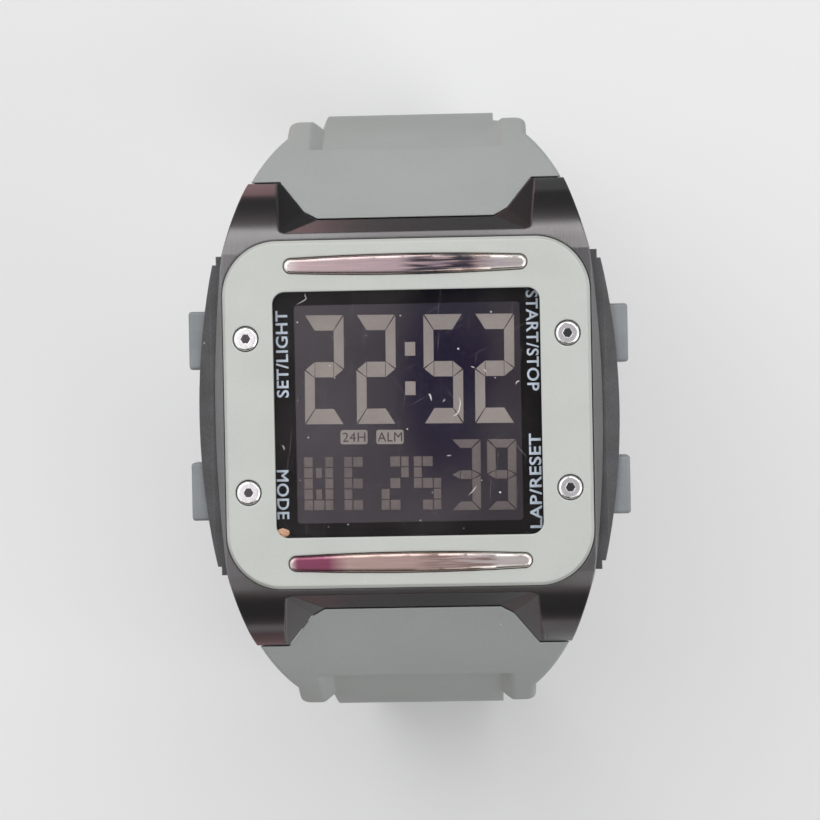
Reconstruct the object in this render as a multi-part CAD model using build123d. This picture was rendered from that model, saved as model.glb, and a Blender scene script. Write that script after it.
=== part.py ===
from build123d import *
import os
from math import cos, hypot, radians, sin, sqrt, tan

# Digital wristwatch: rectangular plated case, screwed bezel, four side pushers, liquid crystal module
# and a two-piece moulded strap with a pin buckle. Millimetres.
# +X points to 3 o'clock, +Y to 12 o'clock and +Z out of the dial; the case back's outer face is z = 0.

# ---------------------------------------------------------------- clearances
slip_gap = 0.10  # round a piece that drops into a pocket
running_gap = 0.05  # radial play of a pin or shaft in its bore
same_place = 0.05  # how far apart two points may be and still count as one, when edges are picked
press_gap = 0.02  # round a piece pushed or screwed tight into its seat
strap_gap = 0.15  # between the strap and the inner wall of its notch
strap_side_gap = 0.06  # between the strap and the slanted sides of its notch
window_gap = 0.15  # round a pusher cap in its guard window

# ---------------------------------------------------------------- bezel and lens
window_width = 28.0
window_height = 25.8
window_corner = 1.3
bezel_side = 5.28  # bezel rail beside the window
bezel_end = 5.38  # bezel rail above and below the window
bezel_corner = 5.8
bezel_lip = 0.6  # bezel material over the edge of the lens
bezel_proud = 1.0  # bezel top above the rim of the case
rim_width = 0.7  # sloped border on the bezel's outer edge
rim_drop = 0.35
lens_overlap = 1.2  # lens edge hidden under the bezel
lens_thickness = 1.4
gasket_height = 0.5
gasket_width = 0.75
bar_length = 25.4  # polished bars above and below the window
bar_middle = 2.05
bar_end = 1.5
bar_depth = 0.8
bar_crown = 0.3
screw_inset = 2.44  # screw axis to the bezel's outer edge
screw_spacing = 16.12
screw_head = 2.55
screw_head_height = 0.8
screw_crown = 0.12
screw_shank = 1.2
screw_length = 3.9
socket_flats = 0.9
socket_depth = 0.5

# ---------------------------------------------------------------- display module
mask_border_x = 2.1  # printed border inside the window
mask_border_y = 1.4
mask_thickness = 0.15
mask_gap = 0.05
polarizer_thickness = 0.2
lcd_glass = 0.7
sheet_corner = 0.3  # corner radius of the glass plates and printed sheets
lcd_edge_x = 1.5  # glass outside the visible area
lcd_edge_y = 0.9
contact_ledge = 1.3  # front glass past the rear glass, with the contact pads
zebra_width = 1.0
guide_thickness = 0.9
guide_standoff = 1.1
guide_post = 1.6
led_width = 3.0
led_depth = 0.6
led_height = 1.8
frame_wall_x = 0.75
frame_wall_y = 0.65
frame_fit = 0.05
module_gap = 0.2  # between the module frame and the case cavity
cavity_corner = 1.5
frame_recess = 0.2  # frame's front edge below the display glass
board_inset = 1.8  # board edge to the module frame's outer edge
board_thickness = 0.8
board_corner = 0.5
blob_diameter = 7.0
blob_height = 0.9
chip_size = 1.6
chip_thickness = 0.6
crystal_diameter = 2.0
crystal_length = 6.0
crystal_start = 2.6  # end of the can above the middle of the board
battery_diameter = 20.0
battery_thickness = 2.5
battery_gap = 0.2
battery_step = 0.4  # the can's front edge below the negative cap
battery_rim = 1.1
contact_height = 0.5  # battery to board, taken up by the contact leaf
contact_strip = 0.2
contact_width = 3.0
contact_foot = 4.0
contact_ramp = 2.0
contact_tip = 2.0
clip_thickness = 0.25
clip_width = 6.0
clip_overhang = 1.0
cushion_height = 2.0
cushion_wall = 1.2
buzzer_diameter = 16.0
buzzer_thickness = 0.3
buzzer_x = 4.3
buzzer_rim = 1.5  # brass disc past the ceramic
coil_radius = 0.55  # contact coil between the buzzer and the board
coil_wire = 0.12
coil_turns = 7
coil_y = -4.0

# ---------------------------------------------------------------- case
back_thickness = 1.2
back_proud = 0.6  # case back below the case body's underside
back_margin = 3.2  # case back past the cavity on every side
back_corner = 3.0
back_screw_inset = 1.7
back_screw_head = 2.2
back_screw_shank = 1.1
back_screw_length = 3.4
cross_width = 0.35
cross_depth = 0.3
back_rim_x = 0.8  # flat underside past the case back
back_rim_y = 0.9
seal_width = 0.5  # flat gasket under the case back
seal_height = 0.65
seal_lip = 0.3
side_rim = 1.22  # widest part of the case past the bezel
side_sag = 1.2  # how far the side curves in from its middle to its end
side_slope = 2.0  # drop of the sloped edge along the sides
horn_reach = 6.52  # horn tip past the bezel's end
horn_taper = 2.4
horn_bulge = 0.1
horn_drop = 5.8  # horn tip below the rim of the case
horn_rise = 1.0  # underside of the horn tip above the flat underside
crown_setback = 1.3  # start of the curve down to the horns, measured back from the bezel's end
crown_bulge = 1.1  # fullness of the curve from the bezel down to the horn tip
shoulder_setback = 1.3  # end of the side, measured back from the bezel's end
facet_setback = 0.67  # top edge of the strap notch past the bezel's end
facet_drop = 0.3
facet_half_width = 12.9
facet_corner = 0.5
notch_half_width = 10.1  # strap notch at its inner wall
notch_mouth = 13.4  # strap notch at the horn tips
notch_depth = 4.2
notch_corner = 0.8

# ---------------------------------------------------------------- side guards
guard_bulge = 1.8
guard_end_width = 1.0
guard_low = 2.8
guard_height = 7.2
guard_bevel = 0.9
guard_step = 0.35
guard_step_length = 0.9
peg_diameter = 1.4
peg_length = 1.2
peg_inset = 2.8  # peg axis to the end of the guard

# ---------------------------------------------------------------- pushers
pusher_spacing = 16.1
pusher_height = 6.6  # pusher axis above the case back
pusher_travel = 0.8
cap_width = 6.2
cap_height = 4.0
cap_standout = 2.85  # cap face past the widest part of the case
cap_round = 0.35
shaft_diameter = 1.6
groove_depth = 0.22
ring_cord = 0.7
ring_bore_depth = 1.6
ring_inset = 1.15  # rubber ring outside the cavity wall
shaft_tip = 0.3  # shaft past the retaining clip
spring_bore = 3.0
spring_depth = 1.6
spring_radius = 1.2
spring_wire = 0.3
spring_turns = 4
retainer_diameter = 3.0
retainer_thickness = 0.25
retainer_gap = 0.1
leaf_thickness = 0.15
leaf_width = 3.0
leaf_gap = 0.05
leaf_drop = 1.2  # leaf's end below the pusher's axis
leaf_foot = 0.9

# ---------------------------------------------------------------- strap
shoulder_angle = 35.5  # slope of the strap where it leaves the case
block_radius = 20.4  # outer curve of the strap's rigid end block
block_thickness = 3.8
strap_thickness = 2.6
strap_width = 19.0
shoulder_width = 33.8
wing_width = 26.2
wing_start = 58.0  # angles round the block's curve, counted from the dial's normal
wing_end = 72.0
wing_round = 1.3
wing_root_round = 1.5  # hollow corner between the block's taper and a wing
block_edge_round = 0.7  # rounding of the outer edges of the block, wings and pocket
pocket_start = 51.0
pocket_half_width = 9.2
pocket_flare = 1.4
block_bulge = 0.1
knuckle_radius = 2.15
hinge_height = 3.6
swing = 15.0  # inward swing of each strap half
stand_height = 62.0  # case back above the surface under the strap
bend_radius = 10.0  # outer radius where the strap turns under

buckle_half_angle = 75.0  # where the buckle half leaves the block's curve
buckle_half_slant = 6.0
buckle_half_radius = 40.0
buckle_run = 6.5  # flat run from the bend to the buckle bar

tail_start_angle = 76.0  # where the hole half leaves the block's curve
tail_start_run = 6.0
tail_turn_radius = 40.0
tail_angle = 84.0  # slope of its long straight run
tail_curl_radius = 14.0
tail_curl_angle = 60.0
tail_tip_run = 12.0
tail_round = 7.0
hole_count = 10
hole_width = 3.2
hole_height = 1.8
hole_spacing = 6.2
first_hole = 20.0  # tail tip to the first hole

# ---------------------------------------------------------------- spring bars and buckle
spring_bar_diameter = 1.6
spring_pin_diameter = 0.8
spring_pin_reach = 2.6  # pin length inside the horn
spring_pin_hidden = 2.0  # pin length inside the tube
buckle_bar_diameter = 1.5
buckle_bar_cover = 0.4  # frame material over the end of the bar
boss_radius = 1.8
buckle_side_gap = 0.35
buckle_arm = 1.9
buckle_cross = 2.6
buckle_thickness = 2.6
buckle_corner = 2.5
buckle_reach = 14.3  # buckle bar to the outer edge of the cross bar
tongue_width = 1.7
tongue_thickness = 0.9
tongue_ring = 0.65
tongue_rise = 0.3  # tongue above the surface under the strap
tongue_tip_gap = 0.6  # tongue tip short of the cross bar's outer edge
tongue_slot = 2.6
tongue_slot_depth = 3.4
notch_play = 0.1
keeper_wall = 1.3
keeper_length = 7.0
keeper_play = 0.6
keeper_gap = 0.3
keeper_rise = 1.0  # keeper's lower stop above the bend

# ---------------------------------------------------------------- heights of the stack
z_back_inner = back_thickness
z_frame_rear = z_back_inner + cushion_height
z_battery_front = z_frame_rear + battery_thickness
z_board_rear = z_battery_front + contact_height
z_board_front = z_board_rear + board_thickness
z_guide_rear = z_board_front + guide_standoff
z_guide_front = z_guide_rear + guide_thickness
z_lcd_rear = z_guide_front + polarizer_thickness
z_lcd_step = z_lcd_rear + lcd_glass
z_lcd_front = z_lcd_step + lcd_glass
z_polarizer_front = z_lcd_front + polarizer_thickness
z_lens_rear = z_polarizer_front + mask_gap + mask_thickness
z_lens_front = z_lens_rear + lens_thickness
z_bezel_top = z_lens_front + bezel_lip
z_case_top = z_bezel_top - bezel_proud
z_case_floor = back_proud

# ---------------------------------------------------------------- plan sizes
bezel_width = window_width + 2 * bezel_side
bezel_height = window_height + 2 * bezel_end
lens_width = window_width + 2 * lens_overlap
lens_height = window_height + 2 * lens_overlap
visible_width = window_width - 2 * mask_border_x
visible_height = window_height - 2 * mask_border_y
lcd_width = visible_width + 2 * lcd_edge_x
lcd_height = visible_height + 2 * lcd_edge_y
module_width = lcd_width + 2 * (frame_wall_x + frame_fit)
module_height = lcd_height + 2 * (frame_wall_y + frame_fit)
cavity_width = module_width + 2 * module_gap
cavity_height = module_height + 2 * module_gap
board_width = module_width - 2 * board_inset
board_height = lcd_height
back_width = cavity_width + 2 * back_margin
back_height = cavity_height + 2 * (back_margin + 0.1)

case_half_width = bezel_width / 2 + side_rim
side_end_y = bezel_height / 2 - shoulder_setback
side_end_x = case_half_width - side_sag
horn_y = bezel_height / 2 + horn_reach
horn_x = side_end_x - horn_taper
z_horn = z_case_top - horn_drop
notch_y = horn_y - notch_depth
facet_y = bezel_height / 2 + facet_setback
screw_x = bezel_width / 2 - screw_inset
screw_y = screw_spacing / 2
pusher_y = pusher_spacing / 2

hinge_y = notch_y + strap_gap + knuckle_radius
block_start_y = horn_y + strap_gap
block_center_y = block_start_y - block_radius * sin(radians(shoulder_angle))
block_center_z = z_horn - strap_gap - block_radius * cos(radians(shoulder_angle))
inner_radius = block_radius - block_thickness
narrow_radius = inner_radius + strap_thickness
z_stand = -stand_height


# ---------------------------------------------------------------- shared shapes
def slab(width, height, corner, z_low, z_high):
    """Rounded rectangular plate centred on the dial's axis."""
    return Pos(0, 0, z_low) * extrude(RectangleRounded(width, height, corner), z_high - z_low)


def ring(width, height, corner, wall, z_low, z_high):
    """Rounded rectangular ring, measured over its outside."""
    outer = slab(width, height, corner, z_low, z_high)
    inner = slab(width - 2 * wall, height - 2 * wall, max(corner - wall, 0.2), z_low, z_high)
    return outer - inner


def block(x_low, x_high, y_low, y_high, z_low, z_high):
    """Plain box given by its limits."""
    middle = Pos((x_low + x_high) / 2, (y_low + y_high) / 2, (z_low + z_high) / 2)
    return middle * Box(x_high - x_low, y_high - y_low, z_high - z_low)


def post(x, y, radius, z_low, z_high):
    """Cylinder along Z."""
    return Pos(x, y, (z_low + z_high) / 2) * Cylinder(radius, z_high - z_low)


def rod(x_low, x_high, y, z, radius):
    """Cylinder along X."""
    return Pos((x_low + x_high) / 2, y, z) * Rot(0, 90, 0) * Cylinder(radius, x_high - x_low)


def coil(radius, wire_diameter, length, turns):
    """Open wire coil standing on the origin along Z, inside the given length."""
    height = length - wire_diameter
    path = Helix(pitch=height / turns, height=height, radius=radius)
    section = Plane(origin=path @ 0, z_dir=path % 0) * Circle(wire_diameter / 2)
    return Pos(0, 0, wire_diameter / 2) * sweep(section, path=path)


def side_x(y):
    """Half width of the case side at a height y of the dial."""
    radius = (side_end_y**2 + side_sag**2) / (2 * side_sag)
    return case_half_width - radius + sqrt(radius**2 - y**2)


def strap_level(y):
    """Height of the strap's sloping top face inside the notch."""
    return z_horn - strap_gap + (block_start_y - y) * tan(radians(shoulder_angle))


def notch_x(y):
    """Half width of the strap notch at y."""
    return notch_half_width + (y - notch_y) * (notch_mouth - notch_half_width) / notch_depth


def curve_arc(radius, start, end):
    """Arc of the strap block's curve between two angles."""
    middle = (start + end) / 2
    return ThreePointArc(on_curve(radius, start), on_curve(radius, middle), on_curve(radius, end))


def on_curve(radius, angle):
    """Point of the strap block's curve in the YZ plane, angle counted from +Z towards +Y."""
    a = radians(angle)
    return (block_center_y + radius * sin(a), block_center_z + radius * cos(a))


def four_corners(x, y):
    return [(x, y), (-x, y), (-x, -y), (x, -y)]


# ---------------------------------------------------------------- case
def case_plan():
    """Outline of the case: curved sides running on into four horns."""
    middle_x = (side_end_x + horn_x) / 2 + horn_bulge
    middle_y = (side_end_y + horn_y) / 2
    side_end = (side_end_x, side_end_y)
    middle = (middle_x, middle_y)
    horn = (horn_x, horn_y)

    def at(point, sx, sy):
        return (sx * point[0], sy * point[1])

    edges = []
    for s in (1, -1):
        edges.append(ThreePointArc(at(side_end, s, -1), (s * case_half_width, 0), at(side_end, s, 1)))
        edges.append(Line(at(horn, 1, s), at(horn, -1, s)))
        for t in (1, -1):
            edges.append(ThreePointArc(at(side_end, s, t), at(middle, s, t), at(horn, s, t)))
    return make_face(edges)


def case_side_profile():
    """The case seen from 3 o'clock: flat middle, curved down to both horn tips."""
    crown_y = bezel_height / 2 - crown_setback
    back_y = back_height / 2 + back_rim_y
    middle_y = (crown_y + horn_y) / 2 + crown_bulge * 0.6
    middle_z = (z_case_top + z_horn) / 2 + crown_bulge
    z_tip = z_case_floor + horn_rise
    points = [(back_y, z_case_floor), (horn_y, z_tip), (horn_y, z_horn)]
    edges = [Line((-back_y, z_case_floor), (back_y, z_case_floor))]
    edges.append(Line((-crown_y, z_case_top), (crown_y, z_case_top)))
    for s in (1, -1):
        edges.append(Polyline(*[(s * y, z) for y, z in points]))
        bulge = (s * middle_y, middle_z)
        edges.append(ThreePointArc((s * horn_y, z_horn), bulge, (s * crown_y, z_case_top)))
    return Plane.YZ * make_face(edges)


def case_front_profile():
    """The case seen from 6 o'clock: sloped edges above and below the side guards."""
    edge_x = case_half_width + 0.2
    top_x = bezel_width / 2 + slip_gap + 0.1
    foot_x = back_width / 2 + back_rim_x
    z_foot = guard_low
    z_side = z_case_top - side_slope
    half = [(foot_x, z_case_floor), (edge_x, z_foot), (edge_x, z_side), (top_x, z_case_top)]
    return Plane.XZ * make_face(Polyline(*half, *[(-x, z) for x, z in reversed(half)], close=True))


def notch_cutters():
    """Space for the strap block in three layers: straight walls, faceted bevels and the open top."""
    reach = horn_y + 0.5
    cut = notch_corner
    corner_y = notch_y + cut
    lower = [(notch_half_width - cut, notch_y), (notch_x(corner_y), corner_y), (notch_x(reach), reach)]
    edge_x = notch_mouth - 0.1
    edge_y = facet_y + facet_corner
    upper = [(facet_half_width, facet_y), (edge_x, edge_y), (notch_x(reach) + 0.05, reach)]
    z_upper = z_case_top - facet_drop
    fall = (z_upper - z_horn) / (horn_y - facet_y)

    def facet_level(y):
        return z_upper - (y - facet_y) * fall

    def ring_points(points, level):
        right = [(x, y, level(y)) for x, y in points]
        left = [(-x, y, z) for x, y, z in reversed(right)]
        return right + left

    low = make_face(Polyline(*ring_points(lower, strap_level), close=True))
    high = make_face(Polyline(*ring_points(upper, facet_level), close=True))
    well = extrude(Pos(0, 0, -2 * z_case_top) * low, amount=2 * z_case_top, dir=(0, 0, 1))
    above = extrude(high, amount=z_case_top, dir=(0, 0, 1))
    return [well, loft([low, high], ruled=True), above]


def pusher_bores():
    """Stepped bores for the four pushers, from the cavity out through the side."""
    radius = shaft_diameter / 2 + running_gap
    side = side_x(pusher_y)
    inner = cavity_width / 2
    bore = rod(inner - 1, side + 1, pusher_y, pusher_height, radius)
    bore += rod(inner - 1, inner + ring_bore_depth, pusher_y, pusher_height, ring_bore_radius())
    bore += rod(side - spring_depth, side + 1, pusher_y, pusher_height, spring_bore / 2)
    return at_four_pushers(bore)


def ring_bore_radius():
    return shaft_diameter / 2 - groove_depth + ring_cord + 2 * press_gap


def at_four_pushers(shape):
    """A shape made at the upper right pusher, repeated at all four."""
    right = shape + mirror(shape, about=Plane.XZ)
    return right + mirror(right, about=Plane.YZ)


def case_body():
    body = extrude(case_plan(), z_bezel_top)
    body &= extrude(case_side_profile(), 2 * case_half_width, both=True)
    body &= extrude(case_front_profile(), 2 * horn_y, both=True)
    for cutter in notch_cutters():
        body -= cutter
        body -= mirror(cutter, about=Plane.XZ)
    body -= slab(cavity_width, cavity_height, cavity_corner, -1, z_bezel_top)
    body -= slab(lens_width + 2 * slip_gap, lens_height + 2 * slip_gap, window_corner + lens_overlap,
                 z_lens_rear - gasket_height, z_bezel_top)
    body -= slab(bezel_width + 2 * slip_gap, bezel_height + 2 * slip_gap, bezel_corner + slip_gap,
                 z_lens_rear, z_bezel_top + 1)
    body -= slab(back_width + 2 * slip_gap, back_height + 2 * slip_gap, back_corner, -1, z_back_inner)
    body -= seal_shape(z_back_inner + seal_height + 0.05, 0.03)
    body -= pusher_bores()
    for x, y in four_corners(screw_x, screw_y):
        body -= post(x, y, screw_shank / 2 + press_gap, z_bezel_top - screw_length - 0.2, z_bezel_top)
    for x, y in back_screw_places():
        body -= post(x, y, back_screw_shank / 2 + press_gap, 0, back_screw_length + 0.3)
    reach = peg_length + 0.1
    for x, y in four_corners(side_x(peg_y()), peg_y()):
        body -= rod(x - reach, x + reach, y, guard_middle(), peg_diameter / 2 + press_gap)
    for y in (hinge_y, -hinge_y):
        reach = notch_x(hinge_y) + spring_pin_reach + 0.1
        body -= rod(-reach, reach, y, hinge_height, spring_pin_diameter / 2 + running_gap)
    return body


def seal_shape(z_high, extra):
    """Flat ring in the groove round the cavity."""
    width = cavity_width + 2 * (seal_lip + seal_width + extra)
    height = cavity_height + 2 * (seal_lip + seal_width + extra)
    corner = cavity_corner + seal_lip + seal_width
    return ring(width, height, corner, seal_width + 2 * extra, z_back_inner, z_high)


def back_screw_places():
    return four_corners(back_width / 2 - back_screw_inset, back_height / 2 - back_screw_inset)


def case_back():
    back = slab(back_width, back_height, back_corner, 0, back_thickness)
    back = chamfer(back.faces().sort_by(Axis.Z)[0].outer_wire().edges(), 0.35)
    for x, y in back_screw_places():
        back -= post(x, y, back_screw_shank / 2 + slip_gap, -1, back_thickness + 1)
        back -= post(x, y, back_screw_head / 2 + slip_gap, -1, back_thickness / 2)
    return back


def cross_slot(length, z_low):
    bar = Box(length, cross_width, cross_depth)
    return Pos(0, 0, z_low + cross_depth / 2) * (bar + Rot(0, 0, 90) * bar)


def case_back_screws():
    """Four cross-head screws, heads just below the case back's face."""
    head_low = slip_gap
    head = post(0, 0, back_screw_head / 2, head_low, back_thickness / 2)
    shank = post(0, 0, back_screw_shank / 2, back_thickness / 2, back_screw_length)
    screw = head + shank - cross_slot(back_screw_head * 0.65, head_low)
    return [Pos(x, y, 0) * screw for x, y in back_screw_places()]


# ---------------------------------------------------------------- bezel
def bezel():
    body = slab(bezel_width, bezel_height, bezel_corner, z_lens_rear, z_bezel_top)
    top = body.faces().sort_by(Axis.Z)[-1]
    body = chamfer(top.outer_wire().edges(), rim_drop, rim_width, reference=top)
    body -= slab(window_width, window_height, window_corner, z_lens_rear - 1, z_bezel_top + 1)
    body -= slab(lens_width + 2 * slip_gap, lens_height + 2 * slip_gap, window_corner + lens_overlap,
                 z_lens_rear - 1, z_lens_front)
    for x, y in four_corners(screw_x, screw_y):
        body -= post(x, y, screw_shank / 2 + slip_gap, z_lens_rear - 1, z_bezel_top)
        body -= post(x, y, screw_head / 2 + slip_gap, z_bezel_top - screw_head_height, z_bezel_top + 1)
    pocket = extrude(bar_outline(slip_gap), bar_depth + 1)
    for s in (1, -1):
        body -= Pos(0, s * bar_y(), z_bezel_top - bar_depth) * pocket
    return body


def bar_y():
    return window_height / 2 + bezel_end / 2


def bar_outline(gap):
    """Lens-like outline: full in the middle, with round ends."""
    end_x = bar_length / 2 - bar_end / 2
    end_y = bar_end / 2 + gap
    middle_y = bar_middle / 2 + gap
    edges = [
        ThreePointArc((-end_x, end_y), (0, middle_y), (end_x, end_y)),
        ThreePointArc((end_x, end_y), (end_x + end_y, 0), (end_x, -end_y)),
        ThreePointArc((end_x, -end_y), (0, -middle_y), (-end_x, -end_y)),
        ThreePointArc((-end_x, -end_y), (-end_x - end_y, 0), (-end_x, end_y)),
    ]
    return make_face(edges)


def bezel_bar(side):
    """Polished bar with a rounded top edge, standing a little proud of the bezel."""
    bar = extrude(bar_outline(0), bar_depth + bar_crown)
    bar = fillet(bar.faces().sort_by(Axis.Z)[-1].edges(), bar_crown)
    return Pos(0, side * bar_y(), z_bezel_top - bar_depth) * bar


def bezel_screws():
    """Four round-head screws with a hexagon socket."""
    top = z_bezel_top + screw_crown
    head = post(0, 0, screw_head / 2, z_bezel_top - screw_head_height, top)
    head = fillet(head.faces().sort_by(Axis.Z)[-1].edges(), 0.3)
    head += post(0, 0, screw_shank / 2, z_bezel_top - screw_length, z_bezel_top - screw_head_height)
    socket = extrude(RegularPolygon(socket_flats / 2, 6, major_radius=False), socket_depth)
    screw = head - Pos(0, 0, top - socket_depth) * socket
    return [Pos(x, y, 0) * screw for x, y in four_corners(screw_x, screw_y)]


def lens():
    return slab(lens_width, lens_height, window_corner + lens_overlap, z_lens_rear, z_lens_front)


def lens_gasket():
    return ring(lens_width, lens_height, window_corner + lens_overlap, gasket_width,
                z_lens_rear - gasket_height, z_lens_rear)


def display_mask():
    """Printed sheet under the lens that frames the display."""
    width = lens_width - 2 * gasket_width - 2 * slip_gap
    height = lens_height - 2 * gasket_width - 2 * slip_gap
    corner = window_corner + lens_overlap - gasket_width
    sheet = slab(width, height, corner, z_lens_rear - mask_thickness, z_lens_rear)
    return sheet - slab(visible_width, visible_height, sheet_corner, z_lens_rear - 1, z_lens_rear + 1)


# ---------------------------------------------------------------- display module
def lcd_cell():
    """Two glass plates; the front one overhangs with the contact pads."""
    rear = slab(lcd_width, lcd_height - 2 * contact_ledge, sheet_corner, z_lcd_rear, z_lcd_step)
    return rear + slab(lcd_width, lcd_height, sheet_corner, z_lcd_step, z_lcd_front)


def front_polarizer():
    width = visible_width + lcd_edge_x
    return slab(width, visible_height + lcd_edge_y, sheet_corner, z_lcd_front, z_polarizer_front)


def rear_polarizer():
    width = board_width - 2 * slip_gap
    return slab(width, lcd_height - 2 * contact_ledge, sheet_corner, z_guide_front, z_lcd_rear)


def light_guide():
    """Clear plate behind the display, on four posts that stand on the board."""
    width = board_width - 2 * slip_gap
    height = lcd_height - 2 * contact_ledge
    guide = slab(width, height, sheet_corner, z_guide_rear, z_guide_front)
    low = z_board_front
    for x, y in four_corners(width / 2 - guide_post, height / 2 - guide_post):
        guide += post(x, y, guide_post / 2, low, z_guide_rear)
    edge = width / 2
    return guide - block(-edge - 1, led_depth - edge + slip_gap, -led_width / 2 - slip_gap,
                         led_width / 2 + slip_gap, low, z_guide_front)


def backlight_led():
    low = slip_gap - board_width / 2
    half = led_width / 2
    return block(low, low + led_depth, -half, half, z_board_front, z_board_front + led_height)


def zebra_strip(side):
    """Striped rubber connector between the board and the display's contact pads."""
    middle = side * (lcd_height / 2 - contact_ledge / 2)
    half_length = board_width / 2 - 0.5
    half = zebra_width / 2
    return block(-half_length, half_length, middle - half, middle + half, z_board_front, z_lcd_step)


def circuit_board():
    return slab(board_width, board_height, board_corner, z_board_rear, z_board_front)


def processor_blob():
    """Epoxy dome over the bonded chip."""
    radius = (blob_height**2 + (blob_diameter / 2) ** 2) / (2 * blob_height)
    dome = Pos(0, 0, z_board_front + blob_height - radius) * Sphere(radius)
    return dome & post(0, 0, blob_diameter, z_board_front, z_board_front + blob_height)


def chip_components():
    """Small surface-mounted parts on the board's front."""
    y = blob_diameter / 2 + 2 * chip_size
    chip = Pos(0, 0, z_board_front + chip_thickness / 2) * Box(chip_size, chip_size / 2, chip_thickness)
    return [Pos(x, y * s, 0) * chip for x in (-2 * chip_size, 0, 2 * chip_size) for s in (1, -1)]


def battery_x():
    return battery_diameter / 2 + battery_gap - board_width / 2


def crystal_x():
    return board_width / 2 - crystal_diameter / 2 - 0.4


def quartz_crystal():
    middle = Pos(crystal_x(), crystal_start + crystal_length / 2, z_board_rear - crystal_diameter / 2)
    return middle * Rot(90, 0, 0) * Cylinder(crystal_diameter / 2, crystal_length)


def coil_place():
    return (crystal_x() - 2 * slip_gap, coil_y)


def module_frame():
    """Moulded frame round the whole module, with a rear plate that holds the battery."""
    top = z_lcd_front - frame_recess
    frame = slab(module_width, module_height, cavity_corner - module_gap, z_frame_rear, top)
    height = lcd_height + 2 * frame_fit
    frame -= slab(board_width + 2 * frame_fit, height, board_corner, z_board_rear, top + 1)
    frame -= slab(lcd_width + 2 * frame_fit, height, sheet_corner, z_lcd_rear, top + 1)
    frame -= post(battery_x(), 0, battery_diameter / 2 + battery_gap / 2, 0, top)
    y_low = crystal_start - slip_gap
    y_high = crystal_start + crystal_length + slip_gap
    half = crystal_diameter / 2 + slip_gap
    frame -= block(crystal_x() - half, crystal_x() + half, y_low, y_high, z_frame_rear - 1, top)
    x, y = coil_place()
    frame -= post(x, y, coil_radius + coil_wire + slip_gap, 0, top)
    half_z = retainer_diameter / 2 + 0.4
    half_y = leaf_width / 2 + 0.4
    notch = block(board_width / 2 - 0.1, module_width, pusher_y - half_y, pusher_y + half_y,
                  pusher_height - half_z, pusher_height + half_z)
    return frame - at_four_pushers(notch)


def battery():
    """Coin cell: wide positive can and a narrower negative cap that faces the board."""
    z_step = z_battery_front - battery_step
    can = post(battery_x(), 0, battery_diameter / 2, z_frame_rear, z_step)
    can = fillet(can.faces().sort_by(Axis.Z)[0].edges(), battery_step)
    return can + post(battery_x(), 0, battery_diameter / 2 - battery_rim, z_step, z_battery_front)


def battery_contact():
    """Sprung negative leaf between the cell and the board."""
    z_foot = z_board_rear - contact_strip
    z_tip = z_battery_front + contact_strip
    foot = contact_foot / 2
    tip = foot + contact_ramp
    end = tip + contact_tip
    front = z_battery_front
    outline = Polyline((-foot, z_foot), (foot, z_foot), (tip, front), (end, front), (end, z_tip),
                       (tip, z_tip), (foot, z_board_rear), (-foot, z_board_rear), close=True)
    return Pos(battery_x(), 0, 0) * extrude(Plane.YZ * make_face(outline), contact_width / 2, both=True)


def battery_clip():
    """Steel strap across the back of the cell."""
    left = -module_width / 2 + 3 * slip_gap
    right = battery_x() + battery_diameter / 2 + clip_overhang
    half = clip_width / 2
    return block(left, right, -half, half, z_frame_rear - clip_thickness, z_frame_rear)


def module_cushion():
    """Rubber ring that presses the module against the display ledge."""
    top = z_frame_rear - clip_thickness
    return ring(module_width, module_height, cavity_corner, cushion_wall, z_back_inner, top)


def buzzer_disc():
    radius = buzzer_diameter / 2
    z_top = z_back_inner + buzzer_thickness
    disc = post(buzzer_x, 0, radius, z_back_inner, z_back_inner + buzzer_thickness / 2)
    return disc + post(buzzer_x, 0, radius - buzzer_rim, z_back_inner, z_top)


def buzzer_coil():
    x, y = coil_place()
    low = z_back_inner + buzzer_thickness
    return Pos(x, y, low) * coil(coil_radius, 2 * coil_wire, z_board_rear - low, coil_turns)


# ---------------------------------------------------------------- side guards
def guard_middle():
    return guard_low + guard_height / 2


def guard_end_y():
    return side_end_y - slip_gap


def peg_y():
    return guard_end_y() - peg_inset


def side_guard(side):
    """Curved plastic guard on the case side, with windows for two pushers and pegs into the case."""
    end_y = guard_end_y()
    outer_x = case_half_width + guard_bulge
    tip_x = side_x(end_y) + guard_end_width
    outline = make_face([
        ThreePointArc((tip_x, -end_y), (outer_x, 0), (tip_x, end_y)),
        Line((tip_x, end_y), (side_x(end_y), end_y)),
        ThreePointArc((side_x(end_y), end_y), (side_x(0), 0), (side_x(end_y), -end_y)),
        Line((side_x(end_y), -end_y), (tip_x, -end_y)),
    ])
    guard = Pos(0, 0, guard_low) * extrude(outline, guard_height)
    z_low = guard_low
    z_high = guard_low + guard_height
    inside = side_end_x - guard_bulge
    bevel = guard_bevel
    shoulder_x = outer_x - 1.6 * bevel
    section = Polyline((inside, z_low), (outer_x - bevel, z_low), (outer_x, z_low + bevel),
                       (outer_x, z_high - bevel), (shoulder_x, z_high), (inside, z_high), close=True)
    guard &= extrude(Plane.XZ * make_face(section), 2 * end_y, both=True)
    half_y = cap_width / 2 + window_gap
    half_z = cap_height / 2 + window_gap
    peg_x = side_x(peg_y())
    for s in (1, -1):
        edge = s * end_y
        inner = s * (end_y - guard_step_length)
        guard -= block(tip_x - guard_step / 2, outer_x, min(edge, inner), max(edge, inner), z_low, z_high)
        guard += rod(peg_x - peg_length, peg_x + 0.3, s * peg_y(), guard_middle(), peg_diameter / 2)
        guard -= block(inside, outer_x + 1, s * pusher_y - half_y, s * pusher_y + half_y,
                       pusher_height - half_z, pusher_height + half_z)
    return guard if side > 0 else mirror(guard, about=Plane.YZ)


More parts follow.
